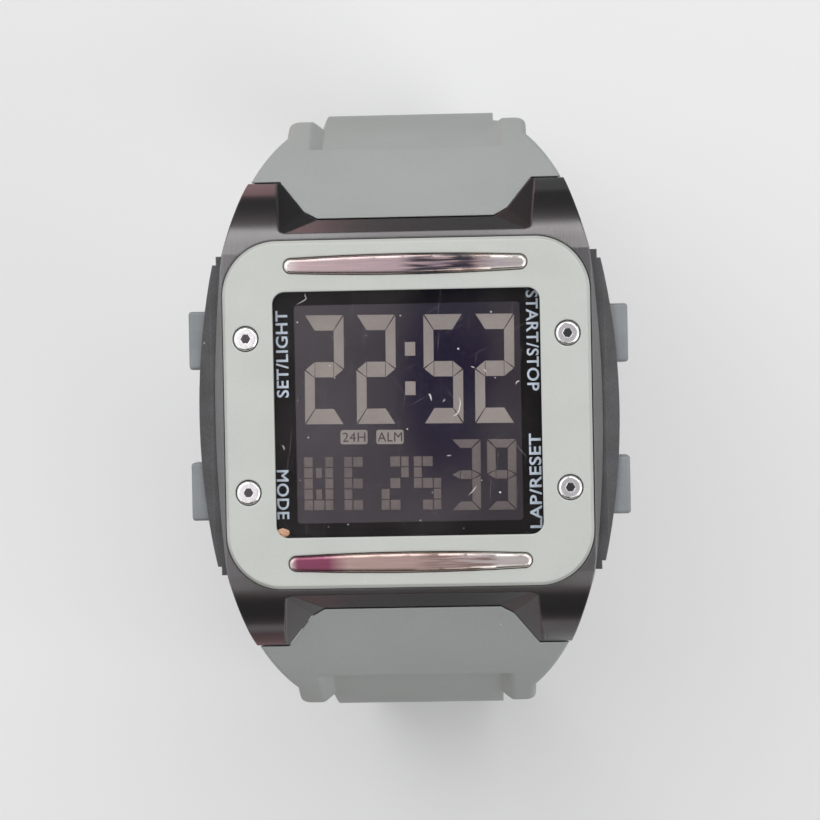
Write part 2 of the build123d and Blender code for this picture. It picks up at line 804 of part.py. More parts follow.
# ---------------------------------------------------------------- pushers
def cap_back_x():
    return side_x(pusher_y - cap_width / 2) + pusher_travel + slip_gap


def retainer_x():
    """Outer face of the retaining clip, just inside the cavity wall."""
    return cavity_width / 2 - retainer_gap


def shaft_end_x():
    return retainer_x() - retainer_thickness - shaft_tip


def ring_x():
    return cavity_width / 2 + ring_inset


def place_pusher(shape, sx, sy):
    """Moves a shape made on the X axis to one of the four pusher axes."""
    moved = Pos(0, pusher_y, pusher_height) * shape
    if sy < 0:
        moved = mirror(moved, about=Plane.XZ)
    return moved if sx > 0 else mirror(moved, about=Plane.YZ)


def pusher_button(sx, sy):
    """Rectangular cap on a round shaft with two grooves."""
    face = case_half_width + cap_standout
    cap = block(cap_back_x(), face, -cap_width / 2, cap_width / 2, -cap_height / 2, cap_height / 2)
    cap = fillet(cap.edges().filter_by(Axis.X) + cap.faces().sort_by(Axis.X)[-1].edges(), cap_round)
    radius = shaft_diameter / 2
    button = cap + rod(shaft_end_x(), cap_back_x() + 0.5, 0, 0, radius)
    clip_middle = retainer_x() - retainer_thickness / 2
    for middle, width in ((ring_x(), ring_cord + 0.1), (clip_middle, retainer_thickness + 0.04)):
        collar = rod(middle - width / 2, middle + width / 2, 0, 0, radius + 1)
        button -= collar - rod(middle - width, middle + width, 0, 0, radius - groove_depth)
    return place_pusher(button, sx, sy)


def pusher_seal(sx, sy):
    """Rubber ring in the outer groove."""
    centre_radius = shaft_diameter / 2 - groove_depth + ring_cord / 2 + press_gap
    seal = Pos(ring_x(), 0, 0) * Rot(0, 90, 0) * Torus(centre_radius, ring_cord / 2)
    return place_pusher(seal, sx, sy)


def pusher_retainer(sx, sy):
    """Open spring-steel clip in the inner groove."""
    low = retainer_x() - retainer_thickness
    radius = shaft_diameter / 2 - groove_depth + press_gap
    high = retainer_x()
    clip = rod(low, high, 0, 0, retainer_diameter / 2) - rod(low - 1, high + 1, 0, 0, radius)
    clip -= block(low - 1, high + 1, -radius * 0.8, radius * 0.8, -retainer_diameter, 0)
    return place_pusher(clip, sx, sy)


def pusher_spring(sx, sy):
    """Return coil between the bottom of its bore and the back of the cap."""
    low = side_x(pusher_y) - spring_depth
    wound = coil(spring_radius, spring_wire, cap_back_x() - low, spring_turns)
    return place_pusher(Pos(low, 0, 0) * Rot(0, 90, 0) * wound, sx, sy)


def switch_contacts():
    """Four contact leaves that the pusher shafts press, soldered to the board's edge."""
    face = shaft_end_x() - pusher_travel - leaf_gap
    y_low = pusher_y - leaf_width / 2
    y_high = pusher_y + leaf_width / 2
    top = z_board_front + leaf_thickness
    blade = block(face - leaf_thickness, face, y_low, y_high, pusher_height - leaf_drop, top)
    leaf = blade + block(board_width / 2 - leaf_foot, face, y_low, y_high, z_board_front, top)
    right = [leaf, mirror(leaf, about=Plane.XZ)]
    return right + [mirror(shape, about=Plane.YZ) for shape in right]


# ---------------------------------------------------------------- strap
def block_profile():
    """Side view of the strap's rigid end: knuckle, sloping top and the curved block."""
    top_y = hinge_y - knuckle_radius
    inner_start = shoulder_angle + 5
    edges = [
        Line((top_y, hinge_height), (top_y, strap_level(top_y))),
        Line((top_y, strap_level(top_y)), on_curve(block_radius, shoulder_angle)),
        curve_arc(block_radius, shoulder_angle, wing_end),
        Line(on_curve(block_radius, wing_end), on_curve(inner_radius, wing_end)),
        curve_arc(inner_radius, wing_end, inner_start),
        Line(on_curve(inner_radius, inner_start), (hinge_y, hinge_height - knuckle_radius)),
        RadiusArc((hinge_y, hinge_height - knuckle_radius), (top_y, hinge_height), knuckle_radius),
    ]
    return Plane.YZ * make_face(edges)


def block_outline():
    """The end block seen square to its middle: full width at the horns, tapering to the wings."""
    facing = (shoulder_angle + wing_end) / 2
    a = radians(facing)
    view = Plane(origin=(0, block_center_y, block_center_z), x_dir=(1, 0, 0), z_dir=(0, sin(a), cos(a)))
    start = block_radius * sin(radians(shoulder_angle - facing))
    wings = block_radius * sin(radians(wing_start - facing))
    half = shoulder_width / 2
    wing_x = wing_width / 2
    bulge_x = (half + wing_x) / 2 + block_bulge
    bulge_y = (start + wings) / 2 + block_bulge / 2
    edges = [
        ThreePointArc((half, start), (bulge_x, bulge_y), (wing_x, wings)),
        Polyline((wing_x, wings), (wing_x, block_radius), (-wing_x, block_radius), (-wing_x, wings)),
        ThreePointArc((-wing_x, wings), (-bulge_x, bulge_y), (-half, start)),
        Polyline((-half, start), (-half, -block_radius), (half, -block_radius), (half, start)),
    ]
    return view * make_face(edges)


def notch_plan(shift):
    """Top view of the part inside the notch, moved outwards where it has to swing past the walls."""
    inner = notch_y + strap_gap
    outer = block_start_y + 1.0
    corner_y = inner + notch_corner
    corner_x = notch_x(corner_y) - strap_side_gap
    inner_x = notch_x(inner) - strap_side_gap - notch_corner
    inner_x -= shift * (corner_x - inner_x) / notch_corner
    outer_x = notch_x(outer - shift) - strap_side_gap
    points = [(inner_x, inner), (corner_x, corner_y + shift), (outer_x, outer)]
    return make_face(Polyline(*points, *[(-x, y) for x, y in reversed(points)], close=True))


def strap_block():
    """The rigid end block that both strap halves share, made at 12 o'clock."""
    profile = extrude(block_profile(), shoulder_width, both=True)
    tall = 3 * stand_height
    relief = (knuckle_radius + strap_gap) * tan(radians(swing)) + strap_gap
    beyond = block(-tall, tall, block_start_y, tall, -tall, tall)
    above_hinge = block(-tall, tall, 0, tall, hinge_height, tall)
    below_hinge = block(-tall, tall, 0, tall, -tall, hinge_height)
    upper = extrude(notch_plan(0), tall, both=True) & profile & above_hinge
    lower = extrude(notch_plan(relief), tall, both=True) & profile & below_hinge
    wide = extrude(block_outline(), tall, both=True) & profile & beyond
    lean = tan(radians(swing + 2))
    wedge = Polyline((block_start_y, hinge_height), (block_start_y + tall * lean, hinge_height - tall),
                     (0, hinge_height - tall), (0, hinge_height), close=True)
    wedge = extrude(Plane.YZ * make_face(wedge), shoulder_width, both=True)
    side = block(notch_x(horn_y) - 4 * strap_gap, tall, 0, tall, -tall, tall)
    solid = upper + lower + (wide - (wedge & side) - (wedge & mirror(side, about=Plane.YZ)))
    solid -= wing_pocket()
    solid = fillet([e for e in solid.edges() if is_wing_corner(e, wing_end)], wing_round)
    solid = fillet([e for e in solid.edges() if is_wing_corner(e, wing_start)], wing_root_round)
    return fillet([e for e in solid.edges() if is_outer_edge(e)], block_edge_round)


def is_wing_corner(edge, angle):
    """True for the short radial edges at the wings' sides, at an angle round the block's curve."""
    middle = edge @ 0.5
    y, z = on_curve((block_radius + inner_radius) / 2, angle)
    near = hypot(middle.Y - y, middle.Z - z) < wing_round / 2
    return near and abs(abs(middle.X) - wing_width / 2) < same_place


def is_outer_edge(edge):
    """True for the edges of the outer curved face, other than its straight end at the horns."""
    for u in (0, 0.5, 1):
        radius = hypot((edge @ u).Y - block_center_y, (edge @ u).Z - block_center_z)
        if abs(radius - block_radius) > same_place:
            return False
    return (edge @ 0.5).Y > block_start_y + block_edge_round


def wing_pocket():
    """Flared recess between the wings, where the narrow strap leaves the block."""
    deep = narrow_radius - 0.6
    shallow = block_radius + 1
    rise = (shallow - narrow_radius) / (block_radius - narrow_radius)
    flare = pocket_half_width + pocket_flare * rise
    right = [(pocket_half_width, deep), (pocket_half_width, narrow_radius), (flare, shallow)]
    section = right + [(-x, r) for x, r in reversed(right)]
    outline = Polyline(*[(x, block_center_y, block_center_z + r) for x, r in section], close=True)
    axis = Axis((0, block_center_y, block_center_z), (-1, 0, 0))
    face = make_face(outline).rotate(axis, pocket_start)
    return revolve(face, axis, wing_end - pocket_start + 6)


def curve_to(angle):
    """Centre line of the narrow strap round the block's curve up to an angle."""
    return curve_arc(narrow_radius - strap_thickness / 2, pocket_start - 8, angle)


def ahead(edge, length):
    """Straight line that carries on from the end of an edge."""
    return Line(edge @ 1, edge @ 1 + (edge % 1) * length)


def buckle_half_path():
    """Down from the block, slanting out, then straight down, round the bend and flat to the buckle bar."""
    middle_bend = bend_radius - strap_thickness / 2
    first = curve_to(buckle_half_angle)
    slant = ahead(first, buckle_half_slant)
    turn = JernArc(slant @ 1, slant % 1, buckle_half_radius, buckle_half_angle - 90)
    straight = Line(turn @ 1, ((turn @ 1).X, z_stand + bend_radius))
    bend = JernArc(straight @ 1, straight % 1, middle_bend, -90)
    return [first, slant, turn, straight, bend, ahead(bend, buckle_run)]


def tail_path():
    """Down from the block, slanting out, then steeper, round the bend and curling up inside."""
    middle_bend = bend_radius - strap_thickness / 2
    middle_curl = tail_curl_radius - strap_thickness / 2
    first = curve_to(tail_start_angle)
    start = ahead(first, tail_start_run)
    turn = JernArc(start @ 1, start % 1, tail_turn_radius, tail_start_angle - tail_angle)
    lean = radians(tail_angle)
    bend_start_z = z_stand + strap_thickness / 2 + middle_bend * (1 + cos(lean))
    slant = ahead(turn, ((turn @ 1).Y - bend_start_z) / sin(lean))
    bend = JernArc(slant @ 1, slant % 1, middle_bend, tail_angle - 180)
    curl = JernArc(bend @ 1, bend % 1, middle_curl, -tail_curl_angle)
    return [first, start, turn, slant, bend, curl, ahead(curl, tail_tip_run)]


def leg_solid(edges):
    """Constant section carried along a leg's centre line."""
    path = Plane.YZ * Wire(edges)
    start = Plane(origin=path @ 0, z_dir=path % 0, x_dir=(1, 0, 0))
    return path, sweep(start * Rectangle(strap_width, strap_thickness), path=path)


def bar_axis():
    """Buckle bar's axis in the YZ plane."""
    end = buckle_half_path()[-1] @ 1
    return (end.X, z_stand + boss_radius)


def keeper_z():
    """Lower stop of the keeper, clear of the bend."""
    return z_stand + bend_radius + keeper_length / 2 + keeper_rise


def upper_strap():
    """Buckle half: block, leg, and a boss with a bar hole and a slot for the tongue."""
    path, leg = leg_solid(buckle_half_path())
    y, z = bar_axis()
    solid = strap_block() + leg + rod(-strap_width / 2, strap_width / 2, y, z, boss_radius)
    solid -= rod(-strap_width, strap_width, y, z, buckle_bar_diameter / 2 + 0.01)
    half = tongue_slot / 2
    top = z_stand + 2 * boss_radius + 1
    solid -= block(-half, half, y - boss_radius - 1, y + tongue_slot_depth, z_stand - 1, top)
    return solid - hinge_bore()


def lower_strap():
    """Hole half: block and a long leg with adjustment holes and a rounded tip."""
    path, leg = leg_solid(tail_path())
    ends = leg.faces().sort_by(lambda f: (f.center() - path @ 1).length)[0]
    tips = [e for e in ends.edges() if abs((e @ 0).X - (e @ 1).X) < 0.01]
    solid = strap_block() + fillet(tips, tail_round)
    for k in range(hole_count):
        place = path.length - first_hole - k * hole_spacing
        point = path.position_at(place, position_mode=PositionMode.LENGTH)
        along = path.tangent_at(place, position_mode=PositionMode.LENGTH)
        plane = Plane(origin=point, x_dir=(1, 0, 0), z_dir=along.cross(Vector(1, 0, 0)))
        solid -= plane * extrude(SlotOverall(hole_width, hole_height), strap_thickness, both=True)
    solid -= hinge_bore()
    return mirror(solid, about=Plane.XZ)


def hinge_bore():
    radius = spring_bar_diameter / 2 + running_gap
    return rod(-shoulder_width, shoulder_width, hinge_y, hinge_height, radius)


# ---------------------------------------------------------------- spring bars, keeper and buckle
def tube_half():
    """Half length of a spring bar's tube, between the notch walls."""
    return notch_x(hinge_y - spring_bar_diameter / 2) - strap_gap


def spring_bar(side):
    tube = rod(-tube_half(), tube_half(), side * hinge_y, hinge_height, spring_bar_diameter / 2)
    for s in (1, -1):
        inner = tube_half() - spring_pin_hidden - 0.4
        low, high = sorted((s * inner, s * (tube_half() + 1)))
        tube -= rod(low, high, side * hinge_y, hinge_height, spring_pin_diameter / 2 + 0.03)
    return tube


def spring_bar_pins(side):
    pins = []
    inner = tube_half() - spring_pin_hidden
    outer = notch_x(hinge_y) + spring_pin_reach
    for s in (1, -1):
        low, high = sorted((s * inner, s * outer))
        pins.append(rod(low, high, side * hinge_y, hinge_height, spring_pin_diameter / 2))
    return pins


def strap_keeper():
    """Loop round the buckle half's straight run, wide enough for a second layer of strap."""
    inner_x = strap_width / 2 + keeper_play / 2
    outer_face = leg_outer_y() + keeper_gap
    inner_face = outer_face - 2 * strap_thickness - keeper_play
    z = keeper_z()
    hole = block(-inner_x, inner_x, inner_face, outer_face, z - keeper_length, z + keeper_length)
    outer_x = inner_x + keeper_wall
    band = block(-outer_x, outer_x, inner_face - keeper_wall, outer_face + keeper_wall,
                 z - keeper_length / 2, z + keeper_length / 2)
    return fillet(band.edges().filter_by(Axis.Z), keeper_wall) - hole


def leg_outer_y():
    """Outer face of the buckle half's straight run."""
    return (buckle_half_path()[3] @ 0).X + strap_thickness / 2


def buckle_bar_half():
    """Half length of the buckle bar, which ends inside the frame's arms."""
    return strap_width / 2 + buckle_side_gap + buckle_arm - buckle_bar_cover


def buckle_bar():
    y, z = bar_axis()
    return rod(-buckle_bar_half(), buckle_bar_half(), y, z, buckle_bar_diameter / 2)


def buckle_frame():
    """Three-sided frame with a notch for the tongue; the bar closes its fourth side."""
    y, z = bar_axis()
    inner_x = strap_width / 2 + buckle_side_gap
    outer_x = inner_x + buckle_arm
    far = y - buckle_reach
    top = z_stand + buckle_thickness
    frame = block(-outer_x, outer_x, far, y, z_stand, top)
    frame = fillet(frame.edges().filter_by(Axis.Z).sort_by(Axis.Y)[:2], buckle_corner)
    frame += rod(-outer_x, outer_x, y, z, boss_radius)
    frame -= block(-inner_x, inner_x, far + buckle_cross, y + 5, z_stand - 1, top + 5)
    half = tongue_width / 2 + 2 * notch_play
    frame -= block(-half, half, far - 1, far + buckle_cross + 1, z_stand - 1, tongue_top() + notch_play)
    reach = buckle_bar_half() + running_gap
    return frame - rod(-reach, reach, y, z, buckle_bar_diameter / 2 + running_gap)


def tongue_top():
    return z_stand + tongue_rise + tongue_thickness


def buckle_tongue():
    """Pin that turns on the bar and rests in the frame's notch."""
    y, z = bar_axis()
    half = tongue_width / 2
    tip = y - buckle_reach + tongue_tip_gap
    ring_radius = buckle_bar_diameter / 2 + running_gap + tongue_ring
    tongue = rod(-half, half, y, z, ring_radius)
    tongue += block(-half, half, tip, y, tongue_top() - tongue_thickness, tongue_top())
    tongue -= rod(-strap_width, strap_width, y, z, buckle_bar_diameter / 2 + running_gap)
    ends = [e for e in tongue.edges().filter_by(Axis.Z) if abs((e @ 0).Y - tip) < 0.01]
    return fillet(ends, half * 0.8)


# ---------------------------------------------------------------- nodes
def nodes():
    named = {
        "case_body": case_body(),
        "right_side_guard": side_guard(1),
        "left_side_guard": side_guard(-1),
        "bezel": bezel(),
        "upper_bezel_bar": bezel_bar(1),
        "lower_bezel_bar": bezel_bar(-1),
        "bezel_screws": bezel_screws(),
        "lens": lens(),
        "lens_gasket": lens_gasket(),
        "display_mask": display_mask(),
        "front_polarizer": front_polarizer(),
        "lcd_cell": lcd_cell(),
        "rear_polarizer": rear_polarizer(),
        "light_guide": light_guide(),
        "backlight_led": backlight_led(),
        "upper_zebra_strip": zebra_strip(1),
        "lower_zebra_strip": zebra_strip(-1),
        "module_frame": module_frame(),
        "circuit_board": circuit_board(),
        "processor_blob": processor_blob(),
        "chip_components": chip_components(),
        "quartz_crystal": quartz_crystal(),
        "battery": battery(),
        "battery_contact": battery_contact(),
        "battery_clip": battery_clip(),
        "module_cushion": module_cushion(),
        "buzzer_disc": buzzer_disc(),
        "buzzer_coil": buzzer_coil(),
        "switch_contacts": switch_contacts(),
        "case_back": case_back(),
        "case_back_gasket": seal_shape(z_back_inner + seal_height, 0),
        "case_back_screws": case_back_screws(),
        "upper_spring_bar": spring_bar(1),
        "lower_spring_bar": spring_bar(-1),
        "upper_spring_bar_pins": spring_bar_pins(1),
        "lower_spring_bar_pins": spring_bar_pins(-1),
        "upper_strap": upper_strap(),
        "lower_strap": lower_strap(),
        "strap_keeper": strap_keeper(),
        "buckle_bar": buckle_bar(),
        "buckle_frame": buckle_frame(),
        "buckle_tongue": buckle_tongue(),
    }
    places = {"set_light": (-1, 1), "mode": (-1, -1), "start_stop": (1, 1), "lap_reset": (1, -1)}
    for name, (sx, sy) in places.items():
        named[name + "_button"] = pusher_button(sx, sy)
        named[name + "_seal"] = pusher_seal(sx, sy)
        named[name + "_retainer"] = pusher_retainer(sx, sy)
        named[name + "_spring"] = pusher_spring(sx, sy)
    return named


os.makedirs("parts", exist_ok=True)
for node, shape in nodes().items():
    solid = Compound(children=shape) if isinstance(shape, list) else shape
    export_step(solid, f"parts/{node}.step")
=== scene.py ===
import math

import bmesh
import bpy
from mathutils import Matrix, Vector


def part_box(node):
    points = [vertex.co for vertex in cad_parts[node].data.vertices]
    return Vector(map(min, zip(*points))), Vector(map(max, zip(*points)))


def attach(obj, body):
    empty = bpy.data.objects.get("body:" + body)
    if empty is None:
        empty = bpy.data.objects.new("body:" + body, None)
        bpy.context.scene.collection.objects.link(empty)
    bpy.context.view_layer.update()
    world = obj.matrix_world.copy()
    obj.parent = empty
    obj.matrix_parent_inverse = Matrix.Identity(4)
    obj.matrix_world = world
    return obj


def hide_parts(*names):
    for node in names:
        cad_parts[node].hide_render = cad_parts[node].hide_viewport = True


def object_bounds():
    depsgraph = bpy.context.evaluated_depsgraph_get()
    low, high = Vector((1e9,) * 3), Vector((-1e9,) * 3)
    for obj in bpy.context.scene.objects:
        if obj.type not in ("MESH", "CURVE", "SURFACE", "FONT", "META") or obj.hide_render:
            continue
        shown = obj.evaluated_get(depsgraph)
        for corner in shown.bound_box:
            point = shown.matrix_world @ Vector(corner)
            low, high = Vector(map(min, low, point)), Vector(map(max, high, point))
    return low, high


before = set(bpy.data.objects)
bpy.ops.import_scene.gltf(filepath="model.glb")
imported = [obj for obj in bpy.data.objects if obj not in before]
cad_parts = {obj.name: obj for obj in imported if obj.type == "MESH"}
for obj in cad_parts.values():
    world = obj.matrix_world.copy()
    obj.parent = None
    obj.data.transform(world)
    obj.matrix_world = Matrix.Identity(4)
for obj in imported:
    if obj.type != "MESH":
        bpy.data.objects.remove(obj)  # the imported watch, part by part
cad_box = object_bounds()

# ------------------------------------------------------------------ camera, floor and lights
# The watch stands on its open strap with the dial up. The camera looks almost straight down at the dial from about
# a quarter of a metre. Below is a pale floor. A large soft lamp beyond 12 o'clock and a weaker one beyond 4 o'clock
# light the watch, and cards out of sight are what its polished faces reflect.
MM = 0.001
camera_data = bpy.data.cameras.new("dial_camera")
camera_data.lens = 109.23
camera_data.sensor_width = 36
camera_data.clip_start = 0.02
camera_data.clip_end = 20
camera = bpy.data.objects.new("dial_camera", camera_data)
camera.location = (9.004 * MM, 3.574 * MM, 272.821 * MM)
camera.rotation_euler = [math.radians(a) for a in (-0.7567, 1.9159, -1.1048)]
bpy.context.scene.collection.objects.link(camera)
bpy.context.scene.camera = camera
bpy.context.scene.view_settings.view_transform = "Standard"

bpy.ops.object.select_all(action="DESELECT")
bpy.ops.mesh.primitive_circle_add(vertices=64, radius=6, fill_type="NGON", location=(0, 0, cad_box[0].z))
floor = bpy.context.object
floor.name = "floor"
floor_paint = bpy.data.materials.new("floor_paint")
floor_paint.use_nodes = True
nodes, links = floor_paint.node_tree.nodes, floor_paint.node_tree.links
shader = nodes["Principled BSDF"]
shader.inputs["Roughness"].default_value = 0.9
shader.inputs["Specular IOR Level"].default_value = 0.1
mottle = nodes.new("ShaderNodeTexNoise")
mottle.inputs["Scale"].default_value = 3
ramp = nodes.new("ShaderNodeValToRGB")
ramp.color_ramp.elements[0].color = (0.90, 0.90, 0.90, 1)
ramp.color_ramp.elements[1].color = (0.93, 0.93, 0.93, 1)
place = nodes.new("ShaderNodeTexCoord")
links.new(place.outputs["Object"], mottle.inputs["Vector"])
links.new(mottle.outputs["Fac"], ramp.inputs["Fac"])
links.new(ramp.outputs["Color"], shader.inputs["Base Color"])
floor.data.materials.append(floor_paint)

world = bpy.data.worlds.new("studio")
bpy.context.scene.world = world
world.use_nodes = True
nodes, links = world.node_tree.nodes, world.node_tree.links
nodes.clear()
room = nodes.new("ShaderNodeBackground")
room.inputs["Color"].default_value = (1, 1, 1, 1)
room.inputs["Strength"].default_value = 0.46
backdrop = nodes.new("ShaderNodeBackground")
backdrop.inputs["Color"].default_value = (1, 1, 1, 1)
backdrop.inputs["Strength"].default_value = 1
ray = nodes.new("ShaderNodeLightPath")
seen = nodes.new("ShaderNodeMath")
seen.operation = "ADD"
seen_through = nodes.new("ShaderNodeMath")
seen_through.operation = "ADD"
seen_through.use_clamp = True
choice = nodes.new("ShaderNodeMixShader")
output = nodes.new("ShaderNodeOutputWorld")
links.new(ray.outputs["Is Camera Ray"], seen.inputs[0])
links.new(ray.outputs["Is Glossy Ray"], seen.inputs[1])
links.new(seen.outputs[0], seen_through.inputs[0])
links.new(ray.outputs["Is Transmission Ray"], seen_through.inputs[1])
links.new(seen_through.outputs[0], choice.inputs["Fac"])
links.new(room.outputs[0], choice.inputs[1])
links.new(backdrop.outputs[0], choice.inputs[2])
links.new(choice.outputs[0], output.inputs["Surface"])


def add_lamp(name, place, target, size, power):
    """Soft square lamp at a place, turned towards a point."""
    data = bpy.data.lights.new(name, "AREA")
    data.size = size
    data.energy = power
    lamp = bpy.data.objects.new(name, data)
    lamp.location = place
    lamp.rotation_euler = (Vector(target) - Vector(place)).to_track_quat("-Z", "Y").to_euler()
    bpy.context.scene.collection.objects.link(lamp)


add_lamp("key_lamp", (-0.08, 0.29, 0.36), (0, 0, 0), 0.65, 1.75)
add_lamp("fill_lamp", (0.45, -0.25, 0.40), (0, 0, 0), 0.40, 0.8)


def card_material(name, colour, dark, centre, reach, turn, slope=(-8, 1.5, 0)):
    """Paint of a card: one colour with a soft-edged dark oval at a place, so reflections are not even."""
    material = bpy.data.materials.new(name)
    material.use_nodes = True
    nodes, links = material.node_tree.nodes, material.node_tree.links
    nodes.clear()
    place = nodes.new("ShaderNodeTexCoord")
    mapping = nodes.new("ShaderNodeMapping")
    mapping.vector_type = "TEXTURE"
    mapping.inputs["Location"].default_value = centre
    mapping.inputs["Rotation"].default_value = turn
    mapping.inputs["Scale"].default_value = reach
    oval = nodes.new("ShaderNodeTexGradient")
    oval.gradient_type = "SPHERICAL"
    blotches = nodes.new("ShaderNodeTexNoise")
    blotches.inputs["Scale"].default_value = 60
    soft = nodes.new("ShaderNodeMapRange")
    soft.interpolation_type = "SMOOTHSTEP"
    soft.inputs["From Min"].default_value = 0.02
    soft.inputs["From Max"].default_value = 0.45
    lean = nodes.new("ShaderNodeVectorMath")
    lean.operation = "DOT_PRODUCT"
    lean.inputs[1].default_value = slope
    level = nodes.new("ShaderNodeMath")
    level.operation = "ADD"
    uneven = nodes.new("ShaderNodeMix")
    uneven.data_type = "RGBA"
    uneven.inputs["A"].default_value = (*[0.4 * c for c in colour], 1)
    uneven.inputs["B"].default_value = (*[1.6 * c for c in colour], 1)
    mix = nodes.new("ShaderNodeMix")
    mix.data_type = "RGBA"
    mix.inputs["B"].default_value = (*dark, 1)
    glow = nodes.new("ShaderNodeEmission")
    output = nodes.new("ShaderNodeOutputMaterial")
    links.new(place.outputs["Object"], mapping.inputs["Vector"])
    links.new(place.outputs["Object"], blotches.inputs["Vector"])
    links.new(mapping.outputs["Vector"], oval.inputs["Vector"])
    links.new(oval.outputs["Fac"], soft.inputs["Value"])
    links.new(place.outputs["Object"], lean.inputs[0])
    links.new(lean.outputs["Value"], level.inputs[0])
    links.new(blotches.outputs["Fac"], level.inputs[1])
    links.new(level.outputs[0], uneven.inputs["Factor"])
    links.new(soft.outputs["Result"], mix.inputs["Factor"])
    links.new(uneven.outputs["Result"], mix.inputs["A"])
    links.new(mix.outputs["Result"], glow.inputs["Color"])
    links.new(glow.outputs[0], output.inputs["Surface"])
    return material


def add_card(name, low, high, level, paint, tilt=None):
    """Card out of sight above, below or beside the watch, which only polished faces reflect."""
    bpy.ops.object.select_all(action="DESELECT")
    bpy.ops.mesh.primitive_plane_add(size=1, location=(0, 0, 0))
    card = bpy.context.object
    card.name = name
    card.data.transform(Matrix.Diagonal(((high[0] - low[0]), (high[1] - low[1]), 1, 1)))
    card.data.transform(Matrix.Translation(((high[0] + low[0]) / 2, (high[1] + low[1]) / 2, level)))
    if tilt:
        card.data.transform(Matrix.Translation(tilt[0]) @ Matrix.Rotation(math.radians(tilt[1]), 4, "X"))
    card.visible_diffuse = False
    card.visible_shadow = False
    card.visible_camera = False
    card.data.materials.append(paint)


over_level, ground_level = 0.30, -0.058  # height of the cards over the dial and of those near the floor
over_paint = card_material(
    "over_paint", (0.62, 0.585, 0.62), (0.0, 0.01, 0.20), (-0.001, 0.006, 0.30), (0.013, 0.032, 1),
    (0, 0, math.radians(-4)))
add_card("camera_card", (-0.060, -0.060), (0.050, 0.075), over_level, over_paint)
strip_paint = card_material(
    "strip_paint", (0.22, 0.22, 0.225), (0.10, 0.10, 0.10), (-0.03, 0.15, 0.30), (0.05, 0.2, 1), (0, 0, 0))
add_card("upper_strip_card", (-0.037, 0.075), (0.017, 0.23), over_level, strip_paint)
add_card("lower_strip_card", (-0.037, -0.23), (0.017, -0.06), over_level, strip_paint)
ground_paint = card_material(
    "ground_paint", (0.28, 0.27, 0.275), (0.20, 0.21, 0.21), (0.1, 0, ground_level), (0.2, 0.4, 1),
    (0, 0, 0), (0, 2, 0))
add_card("far_ground_card", (-0.018, 0.05), (0.30, 0.30), ground_level, ground_paint)
add_card("near_ground_card", (-0.018, -0.40), (0.016, -0.05), ground_level, ground_paint)
# The reddish cards tint the left horns, and the whole plating where it is seen from the left.
russet_paint = card_material(
    "russet_paint", (0.66, 0.40, 0.42), (0.45, 0.25, 0.26), (-0.15, 0.15, ground_level), (0.1, 0.1, 1),
    (0, 0, 0), (0, 2, 0))
add_card("far_russet_card", (-0.30, 0.05), (-0.018, 0.30), ground_level, russet_paint)
add_card("near_russet_card", (-0.30, -0.40), (-0.018, -0.05), ground_level, russet_paint)
far_paint = card_material(
    "far_paint", (0.16, 0.14, 0.145), (0.03, 0.03, 0.03), (0.25, 0.30, 0.02), (0.5, 1, 0.2), (0, 0, 0))
add_card("far_card", (-0.45, -0.06), (0.45, 0.24), 0, far_paint, ((0, 0.30, 0), 90))
near_paint = card_material(
    "near_paint", (0.20, 0.15, 0.15), (0.04, 0.04, 0.04), (0.1, -0.50, 0.30), (0.5, 1, 0.3), (0, 0, 0), (2, 0, 0))
add_card("near_card", (-0.50, 0.02), (0.50, 0.65), 0, near_paint, ((0, -0.50, 0), 90))


# ------------------------------------------------------------------ case body
# Zinc or moulded case with gloss black plating, polished after casting. Edges are slightly rounded and a little
# paler, partly worn and partly a painted highlight, and the polish leaves faint streaks along the horns.
def input_socket(group, kind, name, value):
    """Adds an input with its usual value to a node group."""
    socket = group.interface.new_socket(name, in_out="INPUT", socket_type=kind)
    socket.default_value = value


